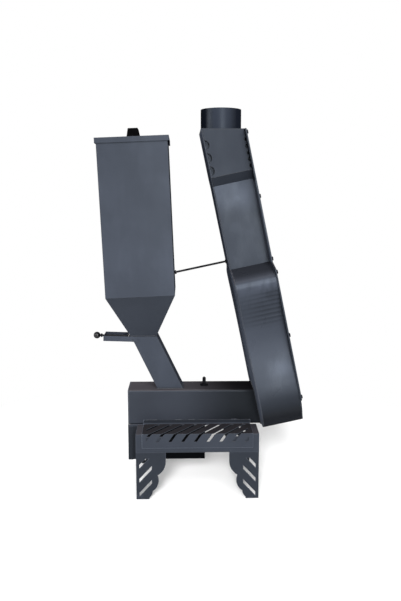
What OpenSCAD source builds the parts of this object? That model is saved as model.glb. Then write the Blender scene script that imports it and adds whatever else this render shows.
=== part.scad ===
// Gravity-fed pellet stove with a leaning body, a tall hopper and a two-winged stand.
// +X points from the hopper to the body, -Y to the near side, +Z up. All lengths are in millimetres.

/* [Firebox] */
// Outside width and height of the square firebox tube
firebox_size = 106; // [96:1:116]
// Wall of the firebox tube
firebox_wall = 3; // [2:0.5:4]
// Outside corner radius of the firebox tube
firebox_corner_r = 6; // [4:0.5:9]
// Height of the firebox underside above the floor
firebox_z = 199; // [190:1:230]
// Thickness of the plate that closes the left end
end_plate_t = 3; // [2:0.5:5]

/* [Burner grate] */
// Distance from the middle of the chute's foot to the middle of the grate
grate_shift = 19; // [10:1:30]
// Gap between the grate and the sides of the firebox
grate_gap = 5; // [2:0.5:12]
// Thickness of the grate
grate_t = 3; // [2:0.5:5]
// Overlap of the grate on the firebox floor, on each side
grate_lap = 4; // [3:0.5:6]
// Width of one air slot
grate_slot_w = 6; // [4:0.5:8]
// Number of air slots
grate_slots = 6; // [4:1:7]
// Height of the pellet stop along the grate's right edge
grate_stop_h = 26; // [15:1:40]

/* [Lighting port] */
// Distance from the closed end of the firebox to the port
port_x = 231; // [220:1:260]
// Diameter of the port hole
port_hole_d = 14; // [10:0.5:18]
// Diameter of the plug's flange
plug_flange_d = 24; // [20:0.5:30]
// Thickness of the plug's flange
plug_flange_t = 3; // [2:0.5:5]
// Diameter of the plug's post
plug_post_d = 10.5; // [8:0.5:14]
// Height of the post above its flange
plug_post_h = 24; // [16:1:32]
// Depth that the plug's stem reaches into the hole
plug_stem_h = 9; // [5:0.5:14]

/* [Ash box] */
// Length of the ash box under the firebox
ash_length = 232; // [200:1:260]
// Height of the ash box
ash_height = 110; // [90:1:120]
// Sheet of the ash box and its drawer
ash_wall = 2; // [1.5:0.5:3]
// Height of the drawer's tray
tray_height = 62; // [40:1:80]
// Gap between the drawer and the ash box, on each side
drawer_gap = 1.5; // [1:0.5:3]
// Length of the drawer front's folded return
drawer_return = 12; // [8:1:16]
// Width of the finger slot in the drawer front
finger_slot_w = 56; // [40:1:70]
// Height of the finger slot
finger_slot_h = 17; // [14:1:22]
// Diameter of one air hole in the drawer front
air_hole_d = 9; // [6:0.5:12]
// Number of air holes
air_holes = 5; // [3:1:6]

/* [Chute] */
// Distance from the closed end of the firebox to the middle of the chute's foot
chute_x = 127; // [115:1:140]
// Lean of the chute from upright
chute_lean = 25.7; // [22:0.1:28]
// Width of the chute across its slope
chute_w = 70; // [64:1:76]
// Depth of the chute from near to far
chute_depth = 66; // [60:1:74]
// Sheet of the chute
chute_wall = 3; // [2:0.5:4]

/* [Gate] */
// Length of the gate channel from the hopper axis to its left end
channel_length = 121; // [118:1:135]
// Height of the channel's sides
channel_h = 15.6; // [14:0.2:20]
// Sheet of the channel
channel_wall = 2; // [1.5:0.5:3]
// Gap between the channel's sides and the foot of the hopper
channel_gap = 3; // [2:0.2:6]
// Rise of the channel towards its left end
gate_tilt = 2; // [0:0.5:4]
// Thickness of the gate blade
blade_t = 3; // [2:0.5:4]
// Distance from the chute to the blade's upturned end when the gate is shut
blade_rest = 9.2; // [8:0.1:20]
// Diameter of the gate rod
gate_rod_d = 6; // [5:0.5:8]
// Height of the rod's axis above the channel floor's underside
gate_rod_z = 10.5; // [9:0.5:12]
// Diameter of the ball knob
knob_d = 20.6; // [16:0.2:26]
// Distance from the channel's end to the middle of the ball
knob_reach = 23; // [20:0.5:32]

/* [Hopper] */
// Width and depth of the hopper box
hopper_w = 200; // [180:1:220]
// Height of the funnel under the box
funnel_h = 126.5; // [110:0.5:150]
// Height of the hopper's rim above its foot
hopper_h = 577; // [480:1:620]
// Sheet of the hopper
hopper_wall = 1.5; // [1:0.25:3]
// Height of the hopper's foot above the floor
hopper_z = 467; // [455:1:480]
// Lean of the hopper away from the body
hopper_lean = 2.4; // [0:0.1:4]

/* [Lid] */
// Gap between the lid's rim and the hopper, on each side
lid_gap = 2.5; // [1:0.5:6]
// Sheet of the lid
lid_t = 1.5; // [1:0.25:2]
// Height of the lid's rim
lid_rim_h = 15; // [10:0.5:25]
// Length of the strap handle from foot to foot
handle_length = 104; // [90:1:130]
// Width of the strap at its feet
handle_foot_w = 38; // [30:1:44]
// Width of the strap at its top
handle_top_w = 28; // [22:1:34]
// Height of the strap handle
handle_h = 30; // [26:1:40]
// Thickness of the strap
handle_t = 3; // [2:0.5:4]
// Diameter of the handle's screws
handle_screw_d = 5; // [4:0.5:6]

/* [Tie rod] */
// Diameter of the tie rod
tie_d = 6; // [5:0.5:8]
// Height of the tie rod on the body, measured along the body from the firebox axis
tie_u = 446; // [442:1:480]
// Width of a nut across its flats
nut_w = 10; // [9:0.5:13]
// Thickness of a nut
nut_t = 5; // [4:0.5:6]

/* [Body] */
// Distance from the closed end of the firebox to the body, at the height of the firebox axis
firebox_length = 391.5; // [370:0.5:420]
// Lean of the body from upright
body_lean = 12; // [8:0.5:14]
// Height of the head's top above the floor
head_top_z = 1068; // [1040:1:1120]
// Thickness of the back plate
back_t = 3; // [2:0.5:5]
// Sheet of the neck, the head and the hood
shell_t = 2; // [1.5:0.5:3]
// Thickness of the front flanges
flange_t = 2; // [1.5:0.5:3]

/* [Neck and head] */
// Width of the neck at its foot
neck_foot_w = 156; // [148:1:164]
// Width of the neck at its top and of the flue duct inside the head
neck_top_w = 150; // [146:1:160]
// Level of the neck's foot, measured along the body from the firebox axis
neck_foot_u = 426; // [418:1:448]
// Height of the head from the foot of its chamfer
head_h = 165.2; // [140:0.1:190]
// Height of the head's chamfer
head_chamfer_h = 25; // [20:1:35]
// Width of the head
head_w = 190; // [180:1:210]
// Radius of a large gill opening beside the back plate
gill_r = 14; // [10:0.5:16]
// Spacing of the large gill openings
gill_pitch = 36.5; // [32:0.5:42]
// Number of large gill openings
gills = 3; // [2:1:3]
// Radius of a small gill opening beside the front flange
small_gill_r = 5.5; // [4:0.5:7]
// Spacing of the small gill openings
small_gill_pitch = 18.5; // [15:0.5:22]
// Number of small gill openings
small_gills = 5; // [3:1:5]

/* [Hood] */
// Greatest width of the hood
hood_w = 342; // [320:1:360]
// Level of the hood's bottom, measured along the body from the firebox axis
hood_bottom_u = -50; // [-60:1:-45]

/* [Windows] */
// Overhang of the upper window frame past the head, on each side
upper_frame_overhang = 30; // [20:1:40]
// Overhang of the lower window frame past the hood, on each side
frame_overhang = 4; // [2:0.5:14]
// Level of the lower frame's bottom edge
lower_frame_u = 29; // [20:1:40]
// Height of the lower frame's bevelled upper corners
frame_corner_h = 14.5; // [10:0.5:20]
// Height of the seam between the two frames above the neck's foot
seam_rise = 1.5; // [0:0.5:4]
// Gap between the two frames at the seam
seam_gap = 1; // [0.5:0.5:3]
// Distance from the top of the head to the upper frame's top edge
upper_frame_drop = 28.2; // [27:0.1:50]
// Thickness of the window frames
frame_t = 2; // [1.5:0.5:3]
// Thickness of the glass
glass_t = 4; // [3:0.5:5]
// Thickness of the gasket under the glass
gasket_t = 1.5; // [1:0.5:3]
// Gap between the upper pane and the head's flue duct, on each side
upper_glass_gap = 2.5; // [1:0.5:12]
// Gap between the lower pane and the hood's waist, on each side
lower_glass_gap = 14; // [4:0.5:30]
// Distance from the panes to the nearest frame ends
glass_margin = 24; // [20:1:40]
// Overlap of a pane on its flange
glass_lap = 7; // [5:0.5:10]
// Set-back of a frame's own opening from the flange's opening
frame_reveal = 5; // [2:0.5:10]
// Diameter of a frame screw
screw_d = 6; // [5:0.5:8]
// Diameter of its head
screw_head_d = 10; // [9:0.5:13]
// Height of its head
screw_head_h = 3.5; // [2.5:0.5:5]
// Distance from the screws to the edge of their frame
screw_inset = 9; // [8:0.5:12]

/* [Flue] */
// Outside diameter of the flue collar
flue_d = 118; // [110:1:118]
// Wall of the flue collar
flue_wall = 2; // [1.5:0.5:3]
// Height of the flue collar above the head
flue_h = 61.5; // [50:0.5:90]
// Distance from the collar to the edges of the body, which is as deep as that
flue_margin = 1; // [1:0.5:10]

/* [Stand] */
// Distance from the closed end of the firebox to the left end of the stand
stand_x = 28; // [20:1:40]
// Gap between the right end of the stand and the body, at the height of the firebox axis
stand_gap = 4.5; // [2:0.5:30]
// Distance from the middle of the stove to the stand's outer face
stand_reach = 146; // [138:1:160]
// Height of the stand's shelf above the underside of the firebox
shelf_rise = 1; // [-6:0.5:4]
// Height of the frame's skirt
skirt_h = 57; // [50:1:70]
// Thickness of the wing frame
wing_t = 2; // [1.5:0.5:3]
// Width of the frame's border beside the perforated panel
wing_border = 18; // [14:1:24]

/* [Perforated panel] */
// Thickness of the perforated panel
panel_t = 2; // [1.5:0.5:3]
// Height of the panel's skirt
panel_skirt_h = 43; // [36:1:48]
// Height of the panel's flange against the firebox
panel_flange_h = 13; // [12:1:20]
// Width of one slot
slot_w = 7; // [5:0.5:9]
// Spacing of the slots along the fold
slot_pitch = 37; // [30:1:44]
// Angle of the slots to the fold
slot_angle = 55; // [45:1:65]
// Distance from the panel's left edge to the first slot on the fold
slot_start = 24; // [10:1:36]
// Margin of the slot field at the panel's ends
slot_end_margin = 12; // [8:1:20]
// Margin of the slot field along the firebox
slot_back_margin = 8; // [6:1:20]
// Reach of the slots down the skirt
slot_drop = 24; // [10:1:32]

/* [Legs] */
// Width of a leg
leg_w = 87; // [84:1:100]
// Thickness of a leg
leg_t = 3; // [2:0.5:5]
// Distance from the shelf's top to the top of a leg behind the skirt
leg_drop = 10; // [6:1:30]
// Radius of the upper scallop
scallop_high_r = 49; // [44:1:52]
// Height of the upper scallop's centre
scallop_high_z = 115; // [110:1:125]
// Radius of the middle scallop
scallop_mid_r = 38; // [34:1:42]
// Height of the middle scallop's centre
scallop_mid_z = 57; // [52:1:62]
// Radius of the lower scallop
scallop_low_r = 28; // [24:1:32]
// Height of the lower scallop's centre
scallop_low_z = 26; // [20:1:30]
// Distance from the leg's outer edge to the middle scallop's centre
scallop_mid_x = 28; // [24:1:32]
// Distance from the leg's outer edge to the lower scallop's centre
scallop_low_x = 20; // [16:1:26]
// Distance from the leg's outer edge to its slots
leg_slot_x = 9.5; // [8:0.5:14]
// Width of the leg's slotted strip
leg_slot_field_w = 36; // [30:1:40]
// Angle of the leg slots from level
leg_slot_angle = 47; // [40:1:52]
// Width of one leg slot
leg_slot_w = 7.5; // [5:0.5:9]
// Spacing of the leg slots
leg_slot_pitch = 42.7; // [38:0.1:44]
// Height of the lowest leg slot's outer end
leg_slot_z = 9; // [7:0.5:12]
// Number of slots in a leg
leg_slots = 3; // [2:1:3]
// Height at which the slots are cut off level
leg_slot_top_z = 124; // [110:1:130]

/* [Hidden] */
$fn = 64;

// Colours of the coated steel, the black fittings, the glass, the gasket and the bare steel
coat = "#4e535c";
black = "#1d1d20";
pane = "#2b2a28";
rope = "#8d8777";
bare = "#7d7f83";

// Overrun of every cut past the face it breaks through
overrun = 1;
// Half-size of the blocks that trim a shape along a plane
reach = 3000;
// Clearance of a free sliding fit, on each side
slide_gap = 0.3;
// Gap between two pieces of different bodies that lie on each other
seat_gap = 0.3;
// Clearance of a hole round a shaft or screw, on the radius
hole_gap = 0.1;

firebox_half = firebox_size / 2;
firebox_top_z = firebox_z + firebox_size;
firebox_mid_z = firebox_z + firebox_half;

// Side of the square hole in the firebox floor, and its middle
grate_hole = firebox_size - 2 * (firebox_wall + grate_gap + grate_lap);
grate_x = chute_x + grate_shift;

// Foot of the hopper, on the chute's axis
hopper_x = chute_x - (hopper_z - firebox_top_z) * tan(chute_lean);
// Depth of the channel's floor below the foot of the hopper
channel_drop = channel_h + channel_gap;
channel_z = hopper_z - channel_drop;
lid_w = hopper_w + 2 * (lid_gap + lid_t);
body_depth = flue_d + 2 * flue_margin;
chute_foot_length = (hopper_z - firebox_top_z) / cos(chute_lean) + chute_w;
chute_span = chute_w / cos(chute_lean);
chute_clear_depth = chute_depth - 2 * chute_wall;
funnel_foot_w = chute_span;

// The outline of one half of the hood, from the bottom's corner up to the neck's foot.
// Each point is a share of the hood's half-width and a share of its height.
hood_waist_share = 0.854;
hood_shares = [
    [0.585, 0], [0.68, 0.0123], [0.766, 0.0482], [0.865, 0.0861], [0.936, 0.123], [0.971, 0.164],
    [0.977, 0.205], [0.959, 0.267], [0.924, 0.342], [0.877, 0.445], [hood_waist_share, 0.555], [0.86, 0.647],
    [0.883, 0.727], [0.918, 0.79], [0.965, 0.843], [0.994, 0.88], [1, 0.905], [0.984, 0.927],
    [0.93, 0.946], [0.84, 0.96]
];
hood_h = neck_foot_u - hood_bottom_u;
hood_half = hood_w / 2;
hood_knots = [for (s = hood_shares) [s[0] * hood_half, hood_bottom_u + s[1] * hood_h]];
// Steps of the smooth curve between two knots
hood_steps = 3;

// Point at share t between p1 and p2 of a smooth curve through four points
function curve_point(p0, p1, p2, p3, t) =
    (2 * p1 + (p2 - p0) * t + (2 * p0 - 5 * p1 + 4 * p2 - p3) * t * t
    + (3 * p1 - p0 - 3 * p2 + p3) * t * t * t) / 2;

// Smooth curve through all the points of a list
function smooth(p, steps) = let (last = len(p) - 1) concat(
    [for (i = [0 : last - 1]) for (k = [0 : steps - 1])
        curve_point(p[max(i - 1, 0)], p[i], p[i + 1], p[min(i + 2, last)], k / steps)],
    [p[last]]
);

function unit(v) = v / norm(v);
function left_of(d) = [-d[1], d[0]];
function direction(p, i) = unit(p[min(i + 1, len(p) - 1)] - p[i == len(p) - 1 ? i - 1 : i]);
function direction_before(p, i) = i == 0 ? direction(p, 0) : direction(p, i - 1);

// The same open outline moved to its left by a distance
function moved_left(p, distance) = [for (i = [0 : len(p) - 1])
    let (a = left_of(direction_before(p, i)), b = left_of(direction(p, i)), m = unit(a + b))
    p[i] + m * distance / (m * a)
];

function reversed(p) = [for (i = [len(p) - 1 : -1 : 0]) p[i]];
function mirrored(p) = [for (q = reversed(p)) [-q[0], q[1]]];

// A strip of one thickness along an open outline
function strip(p, thickness) = concat(p, reversed(moved_left(p, thickness)));

neck_seat = [neck_foot_w / 2 - shell_t, neck_foot_u];
neck_foot = [neck_foot_w / 2, neck_foot_u];
hood_outline = concat(smooth(hood_knots, hood_steps), [neck_foot, neck_seat]);

// Level above every part of the head, where the trim at the head's top takes over
tall_u = head_top_z;
// Level of the head's top on the back plate
head_top_u = (head_top_z - firebox_mid_z) / cos(body_lean);
head_chamfer_u = head_top_u - head_h;
head_chamfer_top_u = head_chamfer_u + head_chamfer_h;
neck_outline = [neck_foot, [neck_top_w / 2, head_chamfer_u], [neck_top_w / 2, tall_u]];
cheek_outline = [
    [neck_top_w / 2, head_chamfer_u], [head_w / 2, head_chamfer_top_u], [head_w / 2, tall_u]
];
body_half_outline = concat(smooth(hood_knots, hood_steps), [neck_foot], cheek_outline);

shell_depth = body_depth - back_t - flange_t;
head_shell_top_z = head_top_z - shell_t;

seam_u = neck_foot_u + seam_rise;
upper_frame_u = seam_u + seam_gap;
upper_frame_top_u = head_top_u - upper_frame_drop;
lower_frame_corner_u = seam_u - frame_corner_h;
upper_frame_w = head_w + 2 * upper_frame_overhang;
lower_frame_w = hood_w + 2 * frame_overhang;
lower_frame_points = [
    [lower_frame_w / 2, lower_frame_u],
    [lower_frame_w / 2, lower_frame_corner_u],
    [upper_frame_w / 2, seam_u]
];
lower_frame_outline = concat(lower_frame_points, mirrored(lower_frame_points));

upper_glass_w = neck_top_w - 2 * (shell_t + upper_glass_gap);
lower_glass_w = hood_waist_share * hood_w - 2 * (shell_t + lower_glass_gap);
upper_glass_low_u = upper_frame_u + glass_margin;
upper_glass_top_u = upper_frame_top_u - 2 * glass_margin;
lower_glass_low_u = lower_frame_u + glass_margin;
lower_glass_top_u = lower_frame_corner_u - glass_margin;
glass_front = body_depth - flange_t - gasket_t;
glass_back = glass_front - glass_t;

// Clips that hold the panes: their width, their sheet and the share of the pane's half-width where they sit
clip_w = 16;
clip_t = 1.5;
clip_foot = 9;
clip_bite = 5;
clip_place_share = 0.55;

upper_screw_levels = [
    upper_frame_u + screw_inset,
    (upper_frame_u + upper_frame_top_u) / 2,
    upper_frame_top_u - screw_inset
];
lower_screw_levels = [
    lower_frame_u + screw_inset,
    (lower_frame_u + lower_frame_corner_u) / 2,
    lower_frame_corner_u - screw_inset
];

// Centre of the flue on the head's top
flue_x = firebox_length + body_depth / 2 / cos(body_lean) - (head_top_z - firebox_mid_z) * tan(body_lean);

// Along the tie rod from the back plate to the hopper's right wall
function body_x_of(x, u) = firebox_length + x * cos(body_lean) - u * sin(body_lean);
function body_z_of(x, u) = firebox_mid_z + x * sin(body_lean) + u * cos(body_lean);
function across_hopper(x, z) = (x - hopper_x) * cos(hopper_lean) + (z - hopper_z) * sin(hopper_lean);
tie_start = across_hopper(body_x_of(0, tie_u), body_z_of(0, tie_u));
tie_span = (tie_start - hopper_w / 2) / cos(body_lean - hopper_lean);
// Reach of the tie rod past the outer nut's seat, into the hopper
tie_end = 10;
// Gap that keeps a square nut clear of the leaning hopper wall
nut_seat_gap = 0.5 * nut_w * tan(body_lean - hopper_lean) + seat_gap;

knob_x = -channel_length - knob_reach;
centre_x = (hopper_x + knob_x * cos(gate_tilt) - knob_d / 2
    + body_x_of(body_depth, hood_bottom_u)) / 2;

shelf_z = firebox_z + shelf_rise;
leg_top_z = shelf_z - leg_drop;
stand_length = firebox_length - stand_gap - stand_x;
panel_x = stand_x + wing_border;
panel_length = stand_length - 2 * wing_border;
wing_reach = stand_reach - panel_t;
wing_z = shelf_z - panel_t;
leg_reach = wing_reach - wing_t;
// Set-back of the frame's window from the slot field
window_margin = 3;

module placed() {
    translate([-centre_x, 0, 0]) children();
}

module on_body() {
    translate([firebox_length, 0, firebox_mid_z]) rotate([0, -body_lean, 0]) children();
}

module on_chute() {
    translate([chute_x, 0, firebox_top_z]) rotate([0, -chute_lean, 0]) children();
}

module on_hopper() {
    translate([hopper_x, 0, hopper_z]) rotate([0, -hopper_lean, 0]) children();
}

module on_gate() {
    translate([hopper_x, 0, channel_z]) rotate([0, gate_tilt, 0]) children();
}

// Extrudes an outline that is drawn across and up, from x to the right
module along_x(x, length) {
    translate([x, 0, 0]) rotate([90, 0, 90]) linear_extrude(length) children();
}

// Extrudes an outline that is drawn to the right and up, over a depth that straddles the middle
module along_y(depth) {
    translate([0, depth / 2, 0]) rotate([90, 0, 0]) linear_extrude(depth) children();
}

module box_about(width, depth, height) {
    translate([-width / 2, -depth / 2, 0]) cube([width, depth, height]);
}

module below(z) {
    difference() {
        children();
        translate([-reach, -reach, z]) cube([2 * reach, 2 * reach, reach]);
    }
}

module above(z) {
    difference() {
        children();
        translate([-reach, -reach, z - reach]) cube([2 * reach, 2 * reach, reach]);
    }
}

// What lies to the left of the body's back plate
module left_of_body() {
    difference() {
        children();
        on_body() translate([0, -reach, -reach]) cube([reach, 2 * reach, 2 * reach]);
    }
}

module rounded_square(size, r) {
    square([size - 2 * r, size], center = true);
    square([size, size - 2 * r], center = true);
    for (x = [-1, 1], y = [-1, 1]) translate([x * (size / 2 - r), y * (size / 2 - r)]) circle(r);
}

module far_side() {
    mirror([0, 1, 0]) children();
}

module chute_bore() {
    on_chute() box_about(chute_w - 2 * chute_wall, chute_clear_depth, chute_foot_length);
    on_chute() translate([0, 0, -chute_w])
        box_about(chute_w - 2 * chute_wall, chute_clear_depth, chute_w + overrun);
}

module firebox_tube() {
    length = firebox_length + firebox_size;
    color(coat) placed() difference() {
        left_of_body() translate([0, 0, firebox_mid_z]) along_x(end_plate_t, length) difference() {
            rounded_square(firebox_size, firebox_corner_r);
            rounded_square(firebox_size - 2 * firebox_wall, firebox_corner_r - firebox_wall);
        }
        below(firebox_top_z + overrun) above(firebox_mid_z) chute_bore();
        translate([port_x, 0, firebox_mid_z]) cylinder(d = port_hole_d, h = firebox_size);
        translate([grate_x, 0, firebox_z - overrun]) box_about(grate_hole, grate_hole, firebox_half);
    }
}

module firebox_end_plate() {
    color(coat) placed() translate([0, 0, firebox_mid_z]) along_x(0, end_plate_t)
        rounded_square(firebox_size, firebox_corner_r);
}

module burner_grate() {
    size = grate_hole + 2 * grate_lap;
    pitch = grate_hole / (grate_slots + 1);
    floor_z = firebox_z + firebox_wall;
    color(bare) placed() translate([grate_x, 0, floor_z]) {
        difference() {
            box_about(size, size, grate_t);
            for (i = [1 : grate_slots]) translate([i * pitch - grate_hole / 2, 0, -overrun])
                box_about(grate_slot_w, grate_hole - 2 * grate_slot_w, grate_t + 2 * overrun);
        }
        translate([size / 2 - grate_t, -size / 2, grate_t]) cube([grate_t, size, grate_stop_h]);
    }
}

module ash_box() {
    inner = firebox_size - 2 * ash_wall;
    color(coat) placed() translate([ash_wall, 0, firebox_z - ash_height]) difference() {
        translate([0, -firebox_half, 0]) cube([ash_length - ash_wall, firebox_size, ash_height]);
        translate([-ash_wall, -inner / 2, ash_wall]) cube([ash_length - ash_wall, inner, ash_height]);
    }
}

module ash_drawer() {
    inner = firebox_size - 2 * ash_wall;
    tray_w = inner - 2 * drawer_gap;
    tray_length = ash_length - 2 * ash_wall - drawer_gap;
    tray_z = firebox_z - ash_height + ash_wall + seat_gap;
    front_w = firebox_size + 2 * (ash_wall + slide_gap);
    front_h = ash_height - seat_gap;
    front_z = firebox_z - ash_height;
    return_h = front_h - ash_wall;
    slot_z = front_z + front_h - finger_slot_h - 2 * ash_wall;
    hole_pitch = tray_w / (air_holes + 1);
    color(coat) placed() {
        // The tray
        translate([ash_wall, -tray_w / 2, tray_z]) difference() {
            cube([tray_length, tray_w, tray_height]);
            translate([0, ash_wall, ash_wall])
                cube([tray_length - ash_wall, tray_w - 2 * ash_wall, tray_height]);
        }
        // The front with its returns round the ash box
        difference() {
            translate([-slide_gap, -front_w / 2, front_z])
                cube([ash_wall + slide_gap + drawer_return, front_w, front_h]);
            translate([ash_wall - slide_gap, -front_w / 2 + ash_wall, front_z - overrun])
                cube([firebox_size, front_w - 2 * ash_wall, front_h + 2 * overrun]);
            translate([-firebox_half, -finger_slot_w / 2, slot_z])
                cube([firebox_size, finger_slot_w, finger_slot_h]);
            for (i = [1 : air_holes])
                translate([-firebox_half, i * hole_pitch - tray_w / 2, tray_z + tray_height / 2])
                    rotate([0, 90, 0]) cylinder(d = air_hole_d, h = firebox_size);
        }
        // The joint between the tray and the front
        translate([ash_wall - slide_gap, -tray_w / 2, tray_z]) cube([slide_gap, tray_w, ash_wall]);
    }
}

module fuel_chute() {
    blade_slot_h = blade_t + 2 * slide_gap + channel_wall;
    color(coat) placed() difference() {
        above(firebox_top_z) below(hopper_z) on_chute() translate([0, 0, -chute_w])
            box_about(chute_w, chute_depth, chute_foot_length + chute_w);
        chute_bore();
        on_gate() translate([-chute_w - chute_span / 2, -chute_clear_depth / 2, channel_wall])
            cube([chute_w + chute_span / 2, chute_clear_depth, blade_slot_h]);
    }
}

module gate_channel() {
    width = chute_depth + 2 * channel_wall;
    color(coat) placed() {
        // The floor and the left end, which stop at the chute
        difference() {
            on_gate() difference() {
                translate([-channel_length, -width / 2, 0]) cube([channel_length, width, channel_h]);
                translate([-channel_length + channel_wall, -width, channel_wall])
                    cube([channel_length, 2 * width, channel_h]);
                translate([-channel_length - overrun, 0, gate_rod_z]) rotate([0, 90, 0])
                    cylinder(d = gate_rod_d + 2 * slide_gap, h = channel_wall + 2 * overrun);
            }
            on_chute() translate([-chute_w / 2, -width, -chute_w])
                cube([channel_length, 2 * width, chute_foot_length + chute_w]);
        }
        // The sides, which end in a slope on the chute
        on_gate() for (side = [-1, 1])
            translate([0, (side * (chute_depth + channel_wall) + channel_wall) / 2, 0]) rotate([90, 0, 0])
                linear_extrude(channel_wall) polygon([
                    [-channel_length, 0], [-channel_h, 0],
                    [-channel_h - channel_h * tan(chute_lean - gate_tilt), channel_h],
                    [-channel_length, channel_h]
                ]);
    }
}

// Left and right ends of the blade, measured from the hopper's axis
blade_right = chute_span / 2 - chute_wall + channel_h * tan(chute_lean) - channel_wall;
blade_left = -chute_span / 2 - blade_rest;
blade_w = chute_clear_depth - 2 * slide_gap;
// Height of the blade's underside above the channel floor's underside
blade_z = channel_wall + slide_gap;
guide_w = 5;

module gate_guides() {
    clear_span = (chute_w - 2 * chute_wall) / cos(chute_lean);
    guide_left = slide_gap - clear_span / 2 + (channel_drop + blade_t) * tan(chute_lean);
    guide_length = blade_right - guide_left;
    color(bare) placed() on_gate() for (side = [-1, 1])
        translate([guide_left, side * (chute_clear_depth - guide_w) / 2 - guide_w / 2, -blade_t])
            cube([guide_length, guide_w, blade_t + channel_wall]);
}

module gate_blade() {
    color(bare) placed() on_gate() {
        translate([blade_left, -blade_w / 2, blade_z]) cube([blade_right - blade_left, blade_w, blade_t]);
        difference() {
            translate([blade_left, -blade_w / 2, blade_z]) cube([blade_t, blade_w, channel_h - blade_z]);
            translate([blade_left - overrun, 0, gate_rod_z]) rotate([0, 90, 0])
                cylinder(d = gate_rod_d, h = blade_t + 2 * overrun);
        }
    }
}

module gate_rod() {
    color(black) placed() on_gate() translate([knob_x, 0, gate_rod_z]) rotate([0, 90, 0])
        cylinder(d = gate_rod_d, h = blade_left + blade_t - knob_x);
}

module hex_nut(bore) {
    difference() {
        cylinder(d = nut_w / cos(30), h = nut_t, $fn = 6);
        translate([0, 0, -overrun]) cylinder(d = bore, h = nut_t + 2 * overrun);
    }
}

module gate_nut() {
    color(black) placed() on_gate() translate([knob_x + knob_d / 2 + overrun, 0, gate_rod_z])
        rotate([0, 90, 0]) hex_nut(gate_rod_d);
}

module gate_knob() {
    color(black) placed() on_gate() translate([knob_x, 0, gate_rod_z]) rotate([0, 90, 0]) difference() {
        sphere(d = knob_d);
        cylinder(d = gate_rod_d, h = knob_d);
    }
}

// A tapering block: one slope seen from the front and one seen from the side
module taper(foot_w, foot_depth, top_w, height, run) {
    intersection() {
        along_y(top_w + run) polygon([
            [-foot_w / 2, 0], [foot_w / 2, 0], [top_w / 2, height], [-top_w / 2, height]
        ]);
        along_x(-(top_w + run) / 2, top_w + run) polygon([
            [-foot_depth / 2, 0], [foot_depth / 2, 0], [top_w / 2, height], [-top_w / 2, height]
        ]);
    }
}

// Depth of the cut that opens the funnel's top
funnel_mouth = 0.25;

module hopper_funnel() {
    wall = 2 * hopper_wall;
    skirt = channel_wall;
    color(coat) placed() above(hopper_z) on_hopper() difference() {
        union() {
            taper(funnel_foot_w, chute_depth, hopper_w, funnel_h, overrun);
            translate([0, 0, -channel_h]) box_about(funnel_foot_w, chute_depth, channel_h + skirt);
        }
        taper(funnel_foot_w - 2 * wall, chute_depth - 2 * wall, hopper_w - wall, funnel_h, overrun);
        translate([0, 0, -channel_h])
            box_about(funnel_foot_w - 2 * wall, chute_depth - 2 * wall, channel_h + skirt);
        translate([0, 0, funnel_h - funnel_mouth])
            box_about(hopper_w - wall, hopper_w - wall, overrun);
    }
}

module hopper_box() {
    inner = hopper_w - 2 * hopper_wall;
    color(coat) placed() difference() {
        on_hopper() difference() {
            translate([0, 0, funnel_h]) box_about(hopper_w, hopper_w, hopper_h - funnel_h);
            translate([0, 0, funnel_h - overrun]) box_about(inner, inner, hopper_h);
        }
        on_body() translate([0, 0, tie_u]) rotate([0, -90, 0])
            cylinder(d = tie_d + 2 * slide_gap, h = tie_span + tie_end);
    }
}

module tie_rod() {
    color(black) placed() on_body() translate([0, 0, tie_u]) rotate([0, -90, 0])
        cylinder(d = tie_d, h = tie_span + tie_end);
}

module tie_rod_nuts() {
    places = [0, tie_span - nut_seat_gap - nut_t, tie_span + hopper_wall + nut_seat_gap];
    color(black) placed() on_body() translate([0, 0, tie_u]) rotate([0, -90, 0])
        for (z = places) translate([0, 0, z]) hex_nut(tie_d);
}

module hopper_lid() {
    top = hopper_h + seat_gap;
    inner = lid_w - 2 * lid_t;
    color(coat) placed() on_hopper() difference() {
        translate([0, 0, top + lid_t - lid_rim_h]) box_about(lid_w, lid_w, lid_rim_h);
        translate([0, 0, top - lid_rim_h]) box_about(inner, inner, lid_rim_h);
        for (side = [-1, 1]) translate([0, side * handle_screw_y, top - overrun])
            cylinder(d = handle_screw_d, h = lid_t + 2 * overrun);
    }
}

handle_seat_z = hopper_h + seat_gap + lid_t;
// Length of a flat foot at each end of the strap
handle_foot = 15;
handle_screw_y = handle_length / 2 - handle_foot / 2;
// Inward lean of the strap's legs
handle_lean = 6;
handle_bend = 4;

module lid_handle() {
    leg_y = handle_length / 2 - handle_foot;
    right_half = [
        [handle_length / 2, handle_t], [leg_y, handle_t],
        [leg_y - handle_lean, handle_h - handle_bend], [leg_y - handle_lean - handle_bend, handle_h]
    ];
    outline = concat(right_half, mirrored(right_half));
    color(black) placed() on_hopper() translate([0, 0, handle_seat_z]) difference() {
        intersection() {
            along_x(-handle_foot_w / 2, handle_foot_w) polygon(strip(outline, handle_t));
            along_y(handle_length) polygon([
                [-handle_foot_w / 2, 0], [handle_foot_w / 2, 0],
                [handle_top_w / 2, handle_h], [-handle_top_w / 2, handle_h]
            ]);
        }
        for (side = [-1, 1]) translate([0, side * handle_screw_y, -overrun])
            cylinder(d = handle_screw_d, h = handle_h);
    }
}

module lid_handle_screws() {
    head_h = handle_t;
    shank = handle_t + lid_t;
    color(black) placed() on_hopper() for (side = [-1, 1])
        translate([0, side * handle_screw_y, handle_seat_z - lid_t]) {
            cylinder(d = handle_screw_d, h = shank);
            translate([0, 0, shank]) cylinder(d = 2 * handle_screw_d, h = head_h);
        }
}

module back_plate() {
    opening = firebox_size - 2 * firebox_wall;
    color(coat) placed() below(head_shell_top_z) difference() {
        on_body() along_x(0, back_t) polygon(concat(body_half_outline, mirrored(body_half_outline)));
        translate([0, -opening / 2, firebox_z + firebox_wall])
            cube([2 * firebox_length, opening, opening]);
    }
}

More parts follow.
